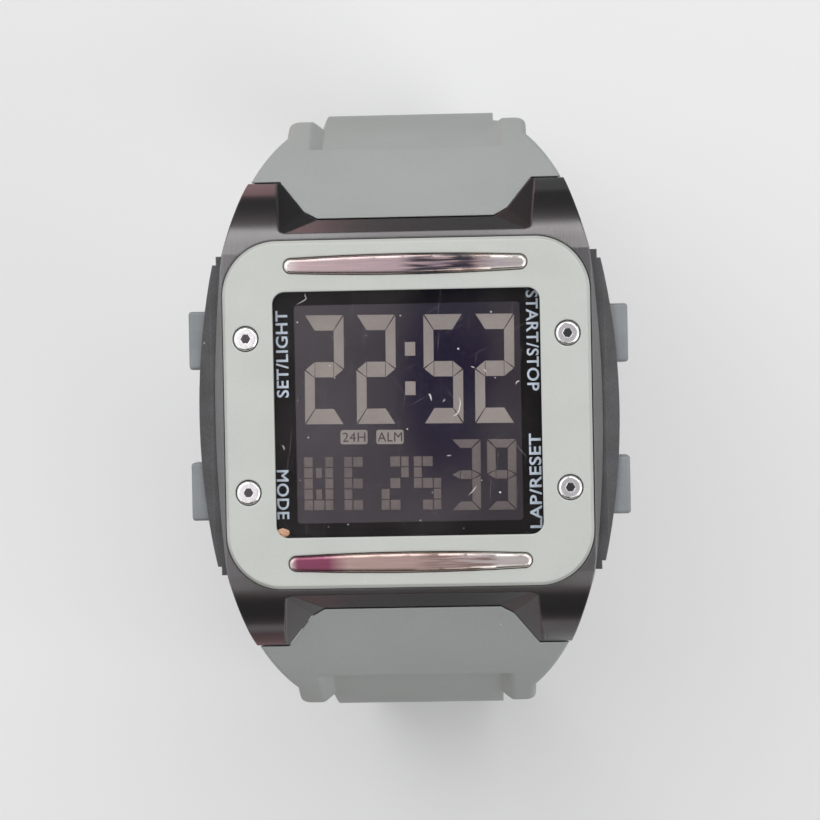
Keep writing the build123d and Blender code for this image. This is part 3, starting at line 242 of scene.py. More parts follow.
def build_surface_finish():
    """Node group of every finish but the glass: mottled colour, grain, rounded edges whose paler edge colour is
    partly wear and partly a painted highlight, and dust.
    """
    group = bpy.data.node_groups.new("surface_finish", "ShaderNodeTree")
    input_socket(group, "NodeSocketColor", "Color", (0.5, 0.5, 0.5, 1))
    input_socket(group, "NodeSocketColor", "Second Color", (0.45, 0.45, 0.45, 1))
    input_socket(group, "NodeSocketColor", "Edge Color", (0.6, 0.6, 0.6, 1))
    input_socket(group, "NodeSocketColor", "Dust Color", (0.8, 0.8, 0.78, 1))
    input_socket(group, "NodeSocketFloat", "Edge Amount", 0.5)
    input_socket(group, "NodeSocketFloat", "Edge Radius", 0.00015)
    input_socket(group, "NodeSocketFloat", "Mottle Scale", 120)
    input_socket(group, "NodeSocketFloat", "Grain Scale", 4000)
    input_socket(group, "NodeSocketVector", "Grain Stretch", (1, 1, 1))
    input_socket(group, "NodeSocketFloat", "Grain Height", 0.00001)
    input_socket(group, "NodeSocketFloat", "Grain Color", 0.1)
    input_socket(group, "NodeSocketFloat", "Dust Amount", 0.3)
    input_socket(group, "NodeSocketFloat", "Roughness", 0.5)
    input_socket(group, "NodeSocketFloat", "Roughness Spread", 0.1)
    made_sockets = (("NodeSocketColor", "Color"), ("NodeSocketFloat", "Roughness"), ("NodeSocketVector", "Normal"))
    for kind, name in made_sockets:
        group.interface.new_socket(name, in_out="OUTPUT", socket_type=kind)
    nodes, links = group.nodes, group.links
    given = nodes.new("NodeGroupInput")
    made = nodes.new("NodeGroupOutput")
    place = nodes.new("ShaderNodeTexCoord")

    def noise(scale, detail, vector):
        node = nodes.new("ShaderNodeTexNoise")
        node.inputs["Detail"].default_value = detail
        links.new(scale, node.inputs["Scale"])
        links.new(vector, node.inputs["Vector"])
        return node.outputs["Fac"]

    def remap(value, low, high, to_low=0, to_high=1):
        node = nodes.new("ShaderNodeMapRange")
        node.inputs["From Min"].default_value = low
        node.inputs["From Max"].default_value = high
        node.inputs["To Min"].default_value = to_low
        node.inputs["To Max"].default_value = to_high
        links.new(value, node.inputs["Value"])
        return node.outputs["Result"]

    def calculate(operation, first, second):
        node = nodes.new("ShaderNodeMath")
        node.operation = operation
        for socket, value in zip(node.inputs, (first, second)):
            if isinstance(value, (int, float)):
                socket.default_value = value
            else:
                links.new(value, socket)
        return node.outputs[0]

    def blend_colour(factor, first, second):
        node = nodes.new("ShaderNodeMix")
        node.data_type = "RGBA"
        links.new(factor, node.inputs["Factor"])
        links.new(first, node.inputs["A"])
        links.new(second, node.inputs["B"])
        return node.outputs["Result"]

    stretched = nodes.new("ShaderNodeVectorMath")
    stretched.operation = "MULTIPLY"
    links.new(place.outputs["Object"], stretched.inputs[0])
    links.new(given.outputs["Grain Stretch"], stretched.inputs[1])
    broad = noise(given.outputs["Mottle Scale"], 3, place.outputs["Object"])
    grain = noise(given.outputs["Grain Scale"], 2, stretched.outputs[0])
    colour = blend_colour(remap(broad, 0.35, 0.65), given.outputs["Color"], given.outputs["Second Color"])
    grain_shade = calculate("MULTIPLY", calculate("SUBTRACT", grain, 0.5), given.outputs["Grain Color"])
    shade = calculate("MAXIMUM", calculate("ADD", grain_shade, 1.0), 0.0)
    scaled = nodes.new("ShaderNodeVectorMath")
    scaled.operation = "SCALE"
    links.new(colour, scaled.inputs[0])
    links.new(shade, scaled.inputs["Scale"])
    colour = scaled.outputs[0]

    # Near edges the colour turns to the Edge Color. Where that is paler than the surface, as on most finishes here,
    # it is partly wear and partly a painted highlight.
    soft = nodes.new("ShaderNodeBevel")
    soft.samples = 6
    links.new(given.outputs["Edge Radius"], soft.inputs["Radius"])
    flat = nodes.new("ShaderNodeNewGeometry")
    dot = nodes.new("ShaderNodeVectorMath")
    dot.operation = "DOT_PRODUCT"
    links.new(soft.outputs["Normal"], dot.inputs[0])
    links.new(flat.outputs["Normal"], dot.inputs[1])
    edge = remap(calculate("SUBTRACT", 1.0, dot.outputs["Value"]), 0.0, 0.25)
    edge = calculate("MULTIPLY", edge, given.outputs["Edge Amount"])
    edge = calculate("MULTIPLY", edge, remap(broad, 0.3, 0.7, 0.5, 1))
    colour = blend_colour(edge, colour, given.outputs["Edge Color"])

    specks = nodes.new("ShaderNodeTexVoronoi")
    specks.feature = "F1"
    specks.inputs["Scale"].default_value = 420
    links.new(place.outputs["Object"], specks.inputs["Vector"])
    rare = nodes.new("ShaderNodeSeparateColor")
    links.new(specks.outputs["Color"], rare.inputs[0])
    dust = calculate("MULTIPLY", remap(specks.outputs["Distance"], 0.06, 0.02), remap(rare.outputs[0], 0.8, 0.95))
    dust = calculate("MULTIPLY", dust, given.outputs["Dust Amount"])
    colour = blend_colour(dust, colour, given.outputs["Dust Color"])

    spread = calculate("MULTIPLY", calculate("SUBTRACT", broad, 0.5), given.outputs["Roughness Spread"])
    rough = calculate("ADD", given.outputs["Roughness"], calculate("ADD", spread, calculate("MULTIPLY", dust, 0.4)))
    bump = nodes.new("ShaderNodeBump")
    bump.inputs["Strength"].default_value = 1
    links.new(given.outputs["Grain Height"], bump.inputs["Distance"])
    links.new(grain, bump.inputs["Height"])
    links.new(soft.outputs["Normal"], bump.inputs["Normal"])
    links.new(colour, made.inputs["Color"])
    links.new(rough, made.inputs["Roughness"])
    links.new(bump.outputs["Normal"], made.inputs["Normal"])
    return group


surface_finish = build_surface_finish()


def finish_material(name, colour, second=None, metallic=0.0, coat=0.0, ior=1.5, **values):
    """Material whose colour, roughness and normal come from the shared group, with this finish's own values."""
    material = bpy.data.materials.new(name)
    material.use_nodes = True
    nodes, links = material.node_tree.nodes, material.node_tree.links
    shader = nodes["Principled BSDF"]
    shader.inputs["Metallic"].default_value = metallic
    shader.inputs["Coat Weight"].default_value = coat
    shader.inputs["IOR"].default_value = ior
    group = nodes.new("ShaderNodeGroup")
    group.node_tree = surface_finish
    given = {"Color": colour, "Second Color": second or [0.9 * c for c in colour]}
    for key, value in values.items():
        given[key.replace("_", " ").title()] = value
    for key, value in given.items():
        is_colour = key.endswith("Color") and not isinstance(value, (int, float))
        group.inputs[key].default_value = (*value, 1) if is_colour else value
    for socket in ("Roughness", "Normal"):
        links.new(group.outputs[socket], shader.inputs[socket])
    links.new(group.outputs["Color"], shader.inputs["Base Color"])
    return material


def dress(material, *names):
    """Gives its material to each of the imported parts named."""
    for name in names:
        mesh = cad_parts[name].data
        mesh.materials.clear()
        mesh.materials.append(material)


black_plating = finish_material(
    "black_plating", (0.185, 0.184, 0.188), (0.15, 0.142, 0.145), metallic=0.9, roughness=0.20,
    roughness_spread=0.12, edge_color=(0.40, 0.39, 0.39), edge_amount=0.5, edge_radius=0.00025, mottle_scale=60,
    grain_scale=900, grain_stretch=(6, 0.6, 0.6), grain_height=0.000004, grain_color=0.12, dust_amount=0.35)
dress(black_plating, "case_body")

# ------------------------------------------------------------------ side guards
# Black resin guards pegged to both sides of the case. They are moulded with a fine sandy grain, and their sloped
# edges are painted paler as a highlight.
guard_resin = finish_material(
    "guard_resin", (0.052, 0.052, 0.055), (0.075, 0.075, 0.08), roughness=0.42, roughness_spread=0.15,
    edge_color=(0.26, 0.26, 0.27), edge_amount=0.8, edge_radius=0.0002, mottle_scale=300,
    grain_scale=5200, grain_height=0.00003, grain_color=1.2, dust_amount=0.5)
dress(guard_resin, "right_side_guard", "left_side_guard")

# ------------------------------------------------------------------ case back
# Steel plate with a brushed face, held by four small cross-head screws over a rubber gasket. The same rubber
# seals the lens and cushions the module.
brushed_steel = finish_material(
    "brushed_steel", (0.55, 0.55, 0.56), (0.48, 0.48, 0.49), metallic=1.0, roughness=0.34, roughness_spread=0.15,
    edge_color=(0.75, 0.75, 0.75), edge_radius=0.00012, grain_scale=700, grain_stretch=(0.5, 14, 1),
    grain_height=0.000006, grain_color=0.35)
dress(brushed_steel, "case_back")
screw_steel = finish_material(
    "screw_steel", (0.62, 0.62, 0.63), (0.5, 0.5, 0.51), metallic=1.0, roughness=0.22, roughness_spread=0.1,
    edge_color=(0.8, 0.8, 0.8), edge_radius=0.00008, grain_scale=3000, grain_height=0.000003, grain_color=0.2)
dress(screw_steel, "case_back_screws")
seal_rubber = finish_material(
    "seal_rubber", (0.03, 0.03, 0.03), (0.04, 0.04, 0.04), roughness=0.7, edge_color=(0.08, 0.08, 0.08),
    grain_scale=3000, grain_height=0.00001, grain_color=0.3)
dress(seal_rubber, "case_back_gasket", "lens_gasket", "module_cushion")

# ------------------------------------------------------------------ module: board, cell, buzzer and light
# A white moulded frame holds a green board, the coin cell under a steel strap, a brass buzzer disc with its coil,
# the crystal, and a clear light guide with one lamp at its edge.
frame_plastic = finish_material(
    "frame_plastic", (0.72, 0.72, 0.69), (0.68, 0.68, 0.65), roughness=0.5, edge_color=(0.85, 0.85, 0.83),
    grain_scale=2500, grain_height=0.000008, grain_color=0.1)
dress(frame_plastic, "module_frame")
solder_mask = finish_material(
    "solder_mask", (0.03, 0.18, 0.08), (0.025, 0.15, 0.07), roughness=0.3, edge_color=(0.45, 0.4, 0.2),
    edge_radius=0.0001, grain_scale=900, grain_stretch=(1, 8, 1), grain_height=0.00001, grain_color=0.5)
dress(solder_mask, "circuit_board")
black_epoxy = finish_material(
    "black_epoxy", (0.02, 0.02, 0.02), (0.03, 0.03, 0.03), roughness=0.25, edge_color=(0.06, 0.06, 0.06),
    grain_scale=600, grain_height=0.00001, grain_color=0.4)
dress(black_epoxy, "processor_blob", "chip_components")
nickel = finish_material(
    "nickel", (0.66, 0.64, 0.60), (0.58, 0.57, 0.54), metallic=1.0, roughness=0.28, roughness_spread=0.12,
    edge_color=(0.8, 0.79, 0.77), edge_radius=0.0001, grain_scale=1200, grain_stretch=(1, 6, 1),
    grain_height=0.000004, grain_color=0.25)
dress(nickel, "battery", "battery_contact", "battery_clip", "quartz_crystal", "switch_contacts")
bright_brass = finish_material(
    "bright_brass", (0.72, 0.52, 0.20), (0.62, 0.43, 0.16), metallic=1.0, roughness=0.28, roughness_spread=0.15,
    edge_color=(0.85, 0.7, 0.4), edge_radius=0.0001, grain_scale=1500, grain_height=0.000004, grain_color=0.3)
dress(bright_brass, "buzzer_disc", "buzzer_coil")
led_resin = finish_material(
    "led_resin", (0.75, 0.66, 0.32), (0.70, 0.6, 0.28), roughness=0.3, edge_color=(0.85, 0.8, 0.6),
    grain_scale=2500, grain_height=0.000004, grain_color=0.1)
dress(led_resin, "backlight_led")
zebra_rubber = finish_material(
    "zebra_rubber", (0.42, 0.2, 0.24), (0.5, 0.28, 0.3), roughness=0.6, edge_color=(0.6, 0.4, 0.42),
    grain_scale=9000, grain_stretch=(1, 0.05, 0.05), grain_height=0.00001, grain_color=1.5)
dress(zebra_rubber, "upper_zebra_strip", "lower_zebra_strip")
clear_acrylic = finish_material(
    "clear_acrylic", (0.80, 0.83, 0.84), (0.76, 0.80, 0.82), roughness=0.12, edge_color=(0.9, 0.92, 0.93),
    grain_scale=1500, grain_height=0.000002, grain_color=0.05)
dress(clear_acrylic, "light_guide")

# ------------------------------------------------------------------ display cell and its films
# Liquid crystal glass between two polarising films. The display is a dark one: its ground is almost black with a
# purple cast, and what is lit shows as a pale warm grey.
# The edges of the films and of the mask round the window are painted paler, as a highlight.
dark_film = finish_material(
    "dark_film", (0.012, 0.0045, 0.010), (0.007, 0.004, 0.010), ior=1.72, roughness=0.12, roughness_spread=0.1,
    edge_color=(0.10, 0.085, 0.10), edge_amount=0.8, edge_radius=0.0001, mottle_scale=90,
    grain_scale=2600, grain_height=0.000001, grain_color=0.35, dust_amount=0.2)
dress(dark_film, "front_polarizer", "rear_polarizer", "lcd_cell")
mask_print = finish_material(
    "mask_print", (0.003, 0.002, 0.002), (0.005, 0.0035, 0.003), ior=1.12, roughness=0.5,
    edge_color=(0.05, 0.045, 0.045), edge_radius=0.0001, grain_scale=2600, grain_height=0.000003,
    grain_color=0.5, dust_amount=0.4)
dress(mask_print, "display_mask")

# ------------------------------------------------------------------ lit figures
# Hours and minutes in tall seven-bar figures with a square colon, seconds in smaller ones, the day and date in
# dots, and two small labels in lit boxes. All are turned by about half a degree, as on a cell fitted a little askew.
figure_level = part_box("front_polarizer")[1].z
figure_thickness = 0.02 * MM
ink_lift = 0.005 * MM  # printed labels above the lit boxes
cell_turn = math.radians(-0.6)


def cut_sheet(corners):
    """Flat sheet with its corners, in millimetres, pulled to their places from a round blank."""
    bpy.ops.object.select_all(action="DESELECT")
    bpy.ops.mesh.primitive_circle_add(vertices=len(corners), radius=MM, fill_type="NGON", location=(0, 0, 0))
    sheet = bpy.context.object
    bpy.ops.object.mode_set(mode="EDIT")
    mesh = bmesh.from_edit_mesh(sheet.data)
    mesh.verts.ensure_lookup_table()
    for vertex in mesh.verts:
        vertex.select_set(False)
    for number, corner in enumerate(corners):
        mesh = bmesh.from_edit_mesh(sheet.data)
        mesh.verts.ensure_lookup_table()
        mesh.verts[number - 1].select_set(False)
        vertex = mesh.verts[number]
        vertex.select_set(True)
        bmesh.update_edit_mesh(sheet.data)
        bpy.ops.transform.translate(value=Vector((corner[0] * MM, corner[1] * MM, 0)) - vertex.co)
    bpy.ops.object.mode_set(mode="OBJECT")
    return sheet


def flip(corners, x=None, y=None):
    """The same corners mirrored about a vertical line at x or a level line at y."""
    if x is not None:
        corners = [(2 * x - cx, cy) for cx, cy in corners]
    if y is not None:
        corners = [(cx, 2 * y - cy) for cx, cy in corners]
    return corners


def seven_bar_sheets(left, top, width, height, upright, level, lit):
    """The lit bars of one figure, with mitred ends; the middle bar is in three pieces."""
    gap = 0.045
    right, middle_x, middle_y = left + width, left + width / 2, top - height / 2
    beside, inner = right - upright, right - upright - gap
    high_bar = [(right - 2 * gap, top), (left + 2 * gap, top)]
    high_bar += [(left + upright + gap, top - level), (inner, top - level)]
    side_bar = [(right, top - 2 * gap), (beside, top - level - gap)]
    side_bar += [(beside, middle_y + level / 2 + gap), (right, middle_y + 2 * gap)]
    tip = [(right - 2 * gap, middle_y), (beside, middle_y + level / 2), (beside, middle_y - level / 2)]
    centre = [(inner, middle_y + level / 2), (left + upright + gap, middle_y + level / 2)]
    centre += [(x, 2 * middle_y - y) for x, y in reversed(centre)]
    bars = {
        "a": [high_bar],
        "b": [side_bar],
        "c": [flip(side_bar, y=middle_y)],
        "d": [flip(high_bar, y=middle_y)],
        "e": [flip(side_bar, x=middle_x, y=middle_y)],
        "f": [flip(side_bar, x=middle_x)],
        "g": [tip, centre, flip(tip, x=middle_x)],
    }
    return [cut_sheet(corners) for name in lit for corners in bars[name]]


def dot_sheets(left, top, columns, rows):
    """The lit dots of one character, row by row; a small dot is marked with o."""
    pitch, gap = 1.14, 0.07
    sheets = []
    for r, row in enumerate(rows):
        x = left
        for mark, width in zip(row, columns):
            if mark != ".":
                inset = 0.22 * width if mark == "o" else 0
                low, high = top - (r + 1) * pitch + gap, top - r * pitch
                near, far = x + inset, x + width - inset
                sheets.append(cut_sheet([(far, high), (near, high), (near, low), (far, low)]))
            x += width + 0.09
    return sheets


def join_sheets(name, sheets, thickness, level):
    """One piece from several sheets, given its thickness, set at its level and turned with the cell."""
    bpy.ops.object.select_all(action="DESELECT")
    for sheet in sheets:
        sheet.select_set(True)
    bpy.context.view_layer.objects.active = sheets[0]
    bpy.ops.object.join()
    piece = bpy.context.object
    piece.name = name
    bpy.ops.object.mode_set(mode="EDIT")
    bpy.ops.mesh.select_all(action="SELECT")
    bpy.ops.mesh.normals_make_consistent(inside=False)
    bpy.ops.object.mode_set(mode="OBJECT")
    solid = piece.modifiers.new("thickness", "SOLIDIFY")
    solid.thickness = thickness
    solid.offset = 0
    bpy.ops.object.modifier_apply(modifier=solid.name)
    bpy.ops.object.mode_set(mode="EDIT")
    bpy.ops.mesh.select_all(action="SELECT")
    bpy.ops.mesh.normals_make_consistent(inside=False)
    bpy.ops.object.mode_set(mode="OBJECT")
    piece.data.transform(Matrix.Translation((0, 0, level + thickness / 2)) @ Matrix.Rotation(cell_turn, 4, "Z"))
    return piece


lit_grey = finish_material(
    "lit_grey", (0.325, 0.285, 0.258), (0.275, 0.24, 0.22), roughness=0.45, edge_color=(0.2, 0.17, 0.17),
    edge_amount=0.3, edge_radius=0.00005, mottle_scale=160, grain_scale=2600, grain_height=0.000001,
    grain_color=0.25, dust_amount=0.1)
dim_grey = finish_material(
    "dim_grey", (0.15, 0.120, 0.115), (0.11, 0.088, 0.086), roughness=0.45, edge_color=(0.07, 0.055, 0.06),
    edge_amount=0.7, edge_radius=0.0001, mottle_scale=240, grain_scale=2600, grain_height=0.000001,
    grain_color=0.5, dust_amount=0.1)


def finish_figures(piece, material=lit_grey):
    """Gives figures their colour and fixes them to the case with the cell."""
    piece.data.materials.clear()
    piece.data.materials.append(material)
    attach(piece, "watch_case")


lit_bars = {"2": "abged", "3": "abgcd", "5": "afgcd", "9": "abfgcd"}
hour_sheets = []
for figure, left in (("2", -10.91), ("2", -5.44), ("5", 1.65), ("2", 7.05)):
    hour_sheets += seven_bar_sheets(left, 10.35, 4.15, 11.5, 1.06, 1.62, lit_bars[figure])
for high in (7.45, 3.3):
    hour_sheets.append(cut_sheet([(0.78, high), (-0.32, high), (-0.32, high - 1.45), (0.78, high - 1.45)]))
finish_figures(join_sheets("time_figures", hour_sheets, figure_thickness, figure_level))

second_sheets = []
for figure, left in (("3", 4.48), ("9", 8.24)):
    second_sheets += seven_bar_sheets(left, -2.85, 3.1, 7.46, 0.92, 0.92, lit_bars[figure])
finish_figures(join_sheets("second_figures", second_sheets, figure_thickness, figure_level), dim_grey)

day_sheets = dot_sheets(-11.08, -4.6, (0.93, 1.12, 0.86), ("X.X", "XoX", "X.X", "XoX", "XXX"))
day_sheets += dot_sheets(-6.84, -4.6, (0.86, 1.02), ("XX", "X.", "XX", "X.", "XX"))
day_sheets += dot_sheets(-2.92, -4.6, (0.86, 1.06, 0.80), (".XX", "..X", ".X.", "X..", "XX."))
day_sheets += dot_sheets(0.52, -4.6, (0.84, 1.06, 0.80), ("XX.", "X..", "XXX", "..X", ".XX"))
finish_figures(join_sheets("day_and_date", day_sheets, figure_thickness, figure_level), dim_grey)


def label_box(left, top, width, height):
    """Lit box with rounded corners: a square blank stretched and its corners cut round."""
    bpy.ops.object.select_all(action="DESELECT")
    middle = ((left + width / 2) * MM, (top - height / 2) * MM, 0)
    bpy.ops.mesh.primitive_plane_add(size=MM, location=(0, 0, 0))
    bpy.ops.object.mode_set(mode="EDIT")
    bpy.ops.transform.resize(value=(width, height, 1))
    bpy.ops.mesh.bevel(offset=0.25 * MM, offset_pct=0, segments=4, affect="VERTICES")
    bpy.ops.transform.translate(value=middle)
    bpy.ops.object.mode_set(mode="OBJECT")
    return bpy.context.object


boxes = [label_box(-7.19, -1.77, 2.86, 1.52), label_box(-3.42, -1.78, 2.9, 1.52)]
finish_figures(join_sheets("label_boxes", boxes, figure_thickness, figure_level))


def flat_letters(name, words, length, cap_height, weight, thickness):
    """Thin flat letters made a mesh, centred on the origin, and drawn to a length and height in millimetres."""
    bpy.ops.object.select_all(action="DESELECT")
    bpy.ops.object.text_add(location=(0, 0, 0))
    letters = bpy.context.object
    letters.name = name
    letters.data.body = words
    letters.data.offset = weight
    letters.data.space_character = 1.06
    letters.data.extrude = 0.01
    letters.data.resolution_u = 4
    bpy.ops.object.convert(target="MESH")
    bpy.ops.object.mode_set(mode="EDIT")
    bpy.ops.mesh.select_all(action="SELECT")
    bpy.ops.mesh.remove_doubles(threshold=0.0001)
    bpy.ops.mesh.normals_make_consistent(inside=False)
    bpy.ops.object.mode_set(mode="OBJECT")
    corners = [Vector(c) for c in letters.bound_box]
    low, high = corners[0], corners[6]
    size = high - low
    letters.data.transform(Matrix.Translation(-(low + high) / 2))
    letters.data.transform(Matrix.Diagonal((length * MM / size.x, cap_height * MM / size.y, thickness / size.z, 1)))
    return letters


dark_ink = finish_material(
    "dark_ink", (0.035, 0.026, 0.04), (0.028, 0.02, 0.036), roughness=0.4, grain_scale=2600,
    grain_height=0.000001, grain_color=0.3, edge_color=(0.05, 0.04, 0.05))
for name, words, length, x in (("hour_label", "24H", 2.42, -5.76), ("alarm_label", "ALM", 2.6, -1.97)):
    letters = flat_letters(name, words, length, 0.98, 0.0, 0.01 * MM)
    turned = Matrix.Rotation(cell_turn, 4, "Z") @ Matrix.Translation((x * MM, -2.53 * MM, 0))
    letters.data.transform(Matrix.Translation((0, 0, figure_level + figure_thickness + ink_lift)) @ turned)
    letters.data.materials.append(dark_ink)
    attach(letters, "watch_case")

# ------------------------------------------------------------------ button legends
# What each pusher does, printed in pale blue-white on the black border round the display. Each pair reads away
# from or towards the middle of its side.
legend_ink = finish_material(
    "legend_ink", (0.72, 0.81, 0.92), (0.62, 0.71, 0.82), roughness=0.5, grain_scale=5000,
    grain_height=0.000002, grain_color=0.6, edge_color=(0.5, 0.56, 0.62), edge_amount=0.2, edge_radius=0.00003)
legend_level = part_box("display_mask")[1].z + 0.01 * MM
for name, words, length, x, y, turn in (
    ("set_light_legend", "SET/LIGHT", 9.15, -13.2, 6.42, 90),
    ("mode_legend", "MODE", 5.2, -13.4, -8.4, -90),
    ("start_stop_legend", "START/STOP", 10.55, 13.2, 7.35, -90),
    ("lap_reset_legend", "LAP/RESET", 9.95, 13.25, -7.4, 90),
):
    letters = flat_letters(name, words, length, 1.28, 0.018, 0.01 * MM)
    place = Matrix.Translation((x * MM, y * MM, legend_level)) @ Matrix.Rotation(math.radians(turn), 4, "Z")
    letters.data.transform(place)
    letters.data.materials.append(legend_ink)
    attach(letters, "watch_case")

# ------------------------------------------------------------------ lens
# Flat mineral glass dropped into the bezel, its upper edge polished to a small bevel. Wear has left hairline
# scratches, dust and a light haze on it.
lens_low, lens_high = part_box("lens")
bpy.ops.object.select_all(action="DESELECT")
bpy.ops.mesh.primitive_cube_add(size=MM, location=(0, 0, 0))
lens = bpy.context.object
lens.name = "lens_glass"
printing_room = 0.03 * MM  # left free under the glass for the legends
corner_radius = 2.5 * MM
edge_bevel = 0.12 * MM
lens_size = lens_high - lens_low - Vector((0, 0, printing_room))
bpy.ops.object.mode_set(mode="EDIT")
bpy.ops.transform.resize(value=lens_size / MM)
mesh = bmesh.from_edit_mesh(lens.data)
for edge in mesh.edges:
    upright = abs(edge.verts[0].co.z - edge.verts[1].co.z) > lens_size.z / 2
    edge.select_set(upright)
bmesh.update_edit_mesh(lens.data)
bpy.ops.mesh.bevel(offset=corner_radius, offset_pct=0, segments=10, affect="EDGES")
bpy.ops.mesh.select_all(action="DESELECT")
mesh = bmesh.from_edit_mesh(lens.data)
for edge in mesh.edges:
    edge.select_set(min(v.co.z for v in edge.verts) > 0.4 * lens_size.z)
bmesh.update_edit_mesh(lens.data)
bpy.ops.mesh.bevel(offset=edge_bevel, offset_pct=0, segments=2, affect="EDGES")
bpy.ops.object.mode_set(mode="OBJECT")
lens.data.transform(Matrix.Translation((lens_low + lens_high + Vector((0, 0, printing_room))) / 2))

lens_glass = bpy.data.materials.new("lens_glass")
lens_glass.use_nodes = True
nodes, links = lens_glass.node_tree.nodes, lens_glass.node_tree.links
nodes.clear()
output = nodes.new("ShaderNodeOutputMaterial")
clear = nodes.new("ShaderNodeBsdfTransparent")
clear.inputs["Color"].default_value = (0.985, 0.982, 0.985, 1)
gloss = nodes.new("ShaderNodeBsdfAnisotropic")
gloss.inputs["Roughness"].default_value = 0.03
haze = nodes.new("ShaderNodeBsdfDiffuse")
haze.inputs["Color"].default_value = (0.75, 0.72, 0.72, 1)
fresnel = nodes.new("ShaderNodeFresnel")
fresnel.inputs["IOR"].default_value = 1.34
glassy = nodes.new("ShaderNodeMixShader")
worn = nodes.new("ShaderNodeMixShader")
place = nodes.new("ShaderNodeTexCoord")


def hairlines(turn, scale, low):
    """Mask of thin broken scratches that run in one direction."""
    mapping = nodes.new("ShaderNodeMapping")
    mapping.vector_type = "TEXTURE"
    mapping.inputs["Rotation"].default_value = (0, 0, math.radians(turn))
    mapping.inputs["Scale"].default_value = (1 / scale, 1 / (scale * 45), 1 / scale)
    noise = nodes.new("ShaderNodeTexNoise")
    noise.inputs["Scale"].default_value = 1
    noise.inputs["Detail"].default_value = 2
    spread = nodes.new("ShaderNodeMapRange")
    spread.inputs["From Min"].default_value = low
    spread.inputs["From Max"].default_value = low + 0.06
    links.new(place.outputs["Object"], mapping.inputs["Vector"])
    links.new(mapping.outputs["Vector"], noise.inputs["Vector"])
    links.new(noise.outputs["Fac"], spread.inputs["Value"])
    return spread.outputs["Result"]


def add_up(values):
    """Sum of several masks, held at one."""
    total = values[0]
    for value in values[1:]:
        node = nodes.new("ShaderNodeMath")
        node.operation = "ADD"
        node.use_clamp = True
        links.new(total, node.inputs[0])
        links.new(value, node.inputs[1])
        total = node.outputs[0]
    return total


def times(value, factor):
    """A mask made weaker by a number, or held within another mask."""
    node = nodes.new("ShaderNodeMath")
    node.operation = "MULTIPLY"
    links.new(value, node.inputs[0])
    if isinstance(factor, (int, float)):
        node.inputs[1].default_value = factor
    else:
        links.new(factor, node.inputs[1])
    return node.outputs[0]


specks = nodes.new("ShaderNodeTexVoronoi")
specks.inputs["Scale"].default_value = 700
near = nodes.new("ShaderNodeMapRange")
near.inputs["From Min"].default_value = 0.07
near.inputs["From Max"].default_value = 0.03
rare = nodes.new("ShaderNodeSeparateColor")
chosen = nodes.new("ShaderNodeMapRange")
chosen.inputs["From Min"].default_value = 0.86
chosen.inputs["From Max"].default_value = 0.93
smear = nodes.new("ShaderNodeTexNoise")
smear.inputs["Scale"].default_value = 110
smear.inputs["Detail"].default_value = 5
smear_spread = nodes.new("ShaderNodeMapRange")
smear_spread.inputs["From Min"].default_value = 0.4
smear_spread.inputs["From Max"].default_value = 0.75
for pattern in (specks, smear):
    links.new(place.outputs["Object"], pattern.inputs["Vector"])
links.new(specks.outputs["Distance"], near.inputs["Value"])
links.new(specks.outputs["Color"], rare.inputs[0])
links.new(rare.outputs[0], chosen.inputs["Value"])
links.new(smear.outputs["Fac"], smear_spread.inputs["Value"])
scratches = add_up([hairlines(28, 170, 0.71), hairlines(-52, 150, 0.72), hairlines(84, 190, 0.70)])
dust = times(near.outputs["Result"], chosen.outputs["Result"])
wear = add_up([times(scratches, 0.14), times(dust, 0.5), times(smear_spread.outputs["Result"], 0.010)])
# Only the outer side of a face is glossy, so the display stays clear from low angles.
faces = nodes.new("ShaderNodeNewGeometry")
outward = nodes.new("ShaderNodeMath")
outward.operation = "SUBTRACT"
outward.inputs[0].default_value = 1
links.new(faces.outputs["Backfacing"], outward.inputs[1])
links.new(times(fresnel.outputs[0], outward.outputs[0]), glassy.inputs["Fac"])
links.new(clear.outputs[0], glassy.inputs[1])
links.new(gloss.outputs[0], glassy.inputs[2])
links.new(wear, worn.inputs["Fac"])
links.new(glassy.outputs[0], worn.inputs[1])
links.new(haze.outputs[0], worn.inputs[2])
links.new(worn.outputs[0], output.inputs["Surface"])
lens.data.materials.append(lens_glass)
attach(lens, "watch_case")
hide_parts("lens")

# ------------------------------------------------------------------ lint on the lens
# Short pale fibres, a few specks and one tan crumb that lie on the glass and the edge of the window, as on a
# watch that has been worn. Each fibre is a narrow flat ribbon.
lint = finish_material(
    "lint", (0.95, 0.94, 0.93), (0.84, 0.83, 0.83), roughness=0.7, grain_scale=9000, grain_height=0.000002,
    grain_color=0.3, edge_color=(0.95, 0.95, 0.95))


def ribbon(path, width):
    """Flat ribbon with pointed ends that follows a path of points in millimetres."""
    points = [Vector(point) for point in path]
    left, right = [], []
    for before, here, after in zip(points, points[1:], points[2:]):
        side = (after - before).normalized().orthogonal() * 0.7 * width
        left.append(here + side)
        right.append(here - side)
    return cut_sheet([tuple(p) for p in (points[0], *left, points[-1], *reversed(right))])


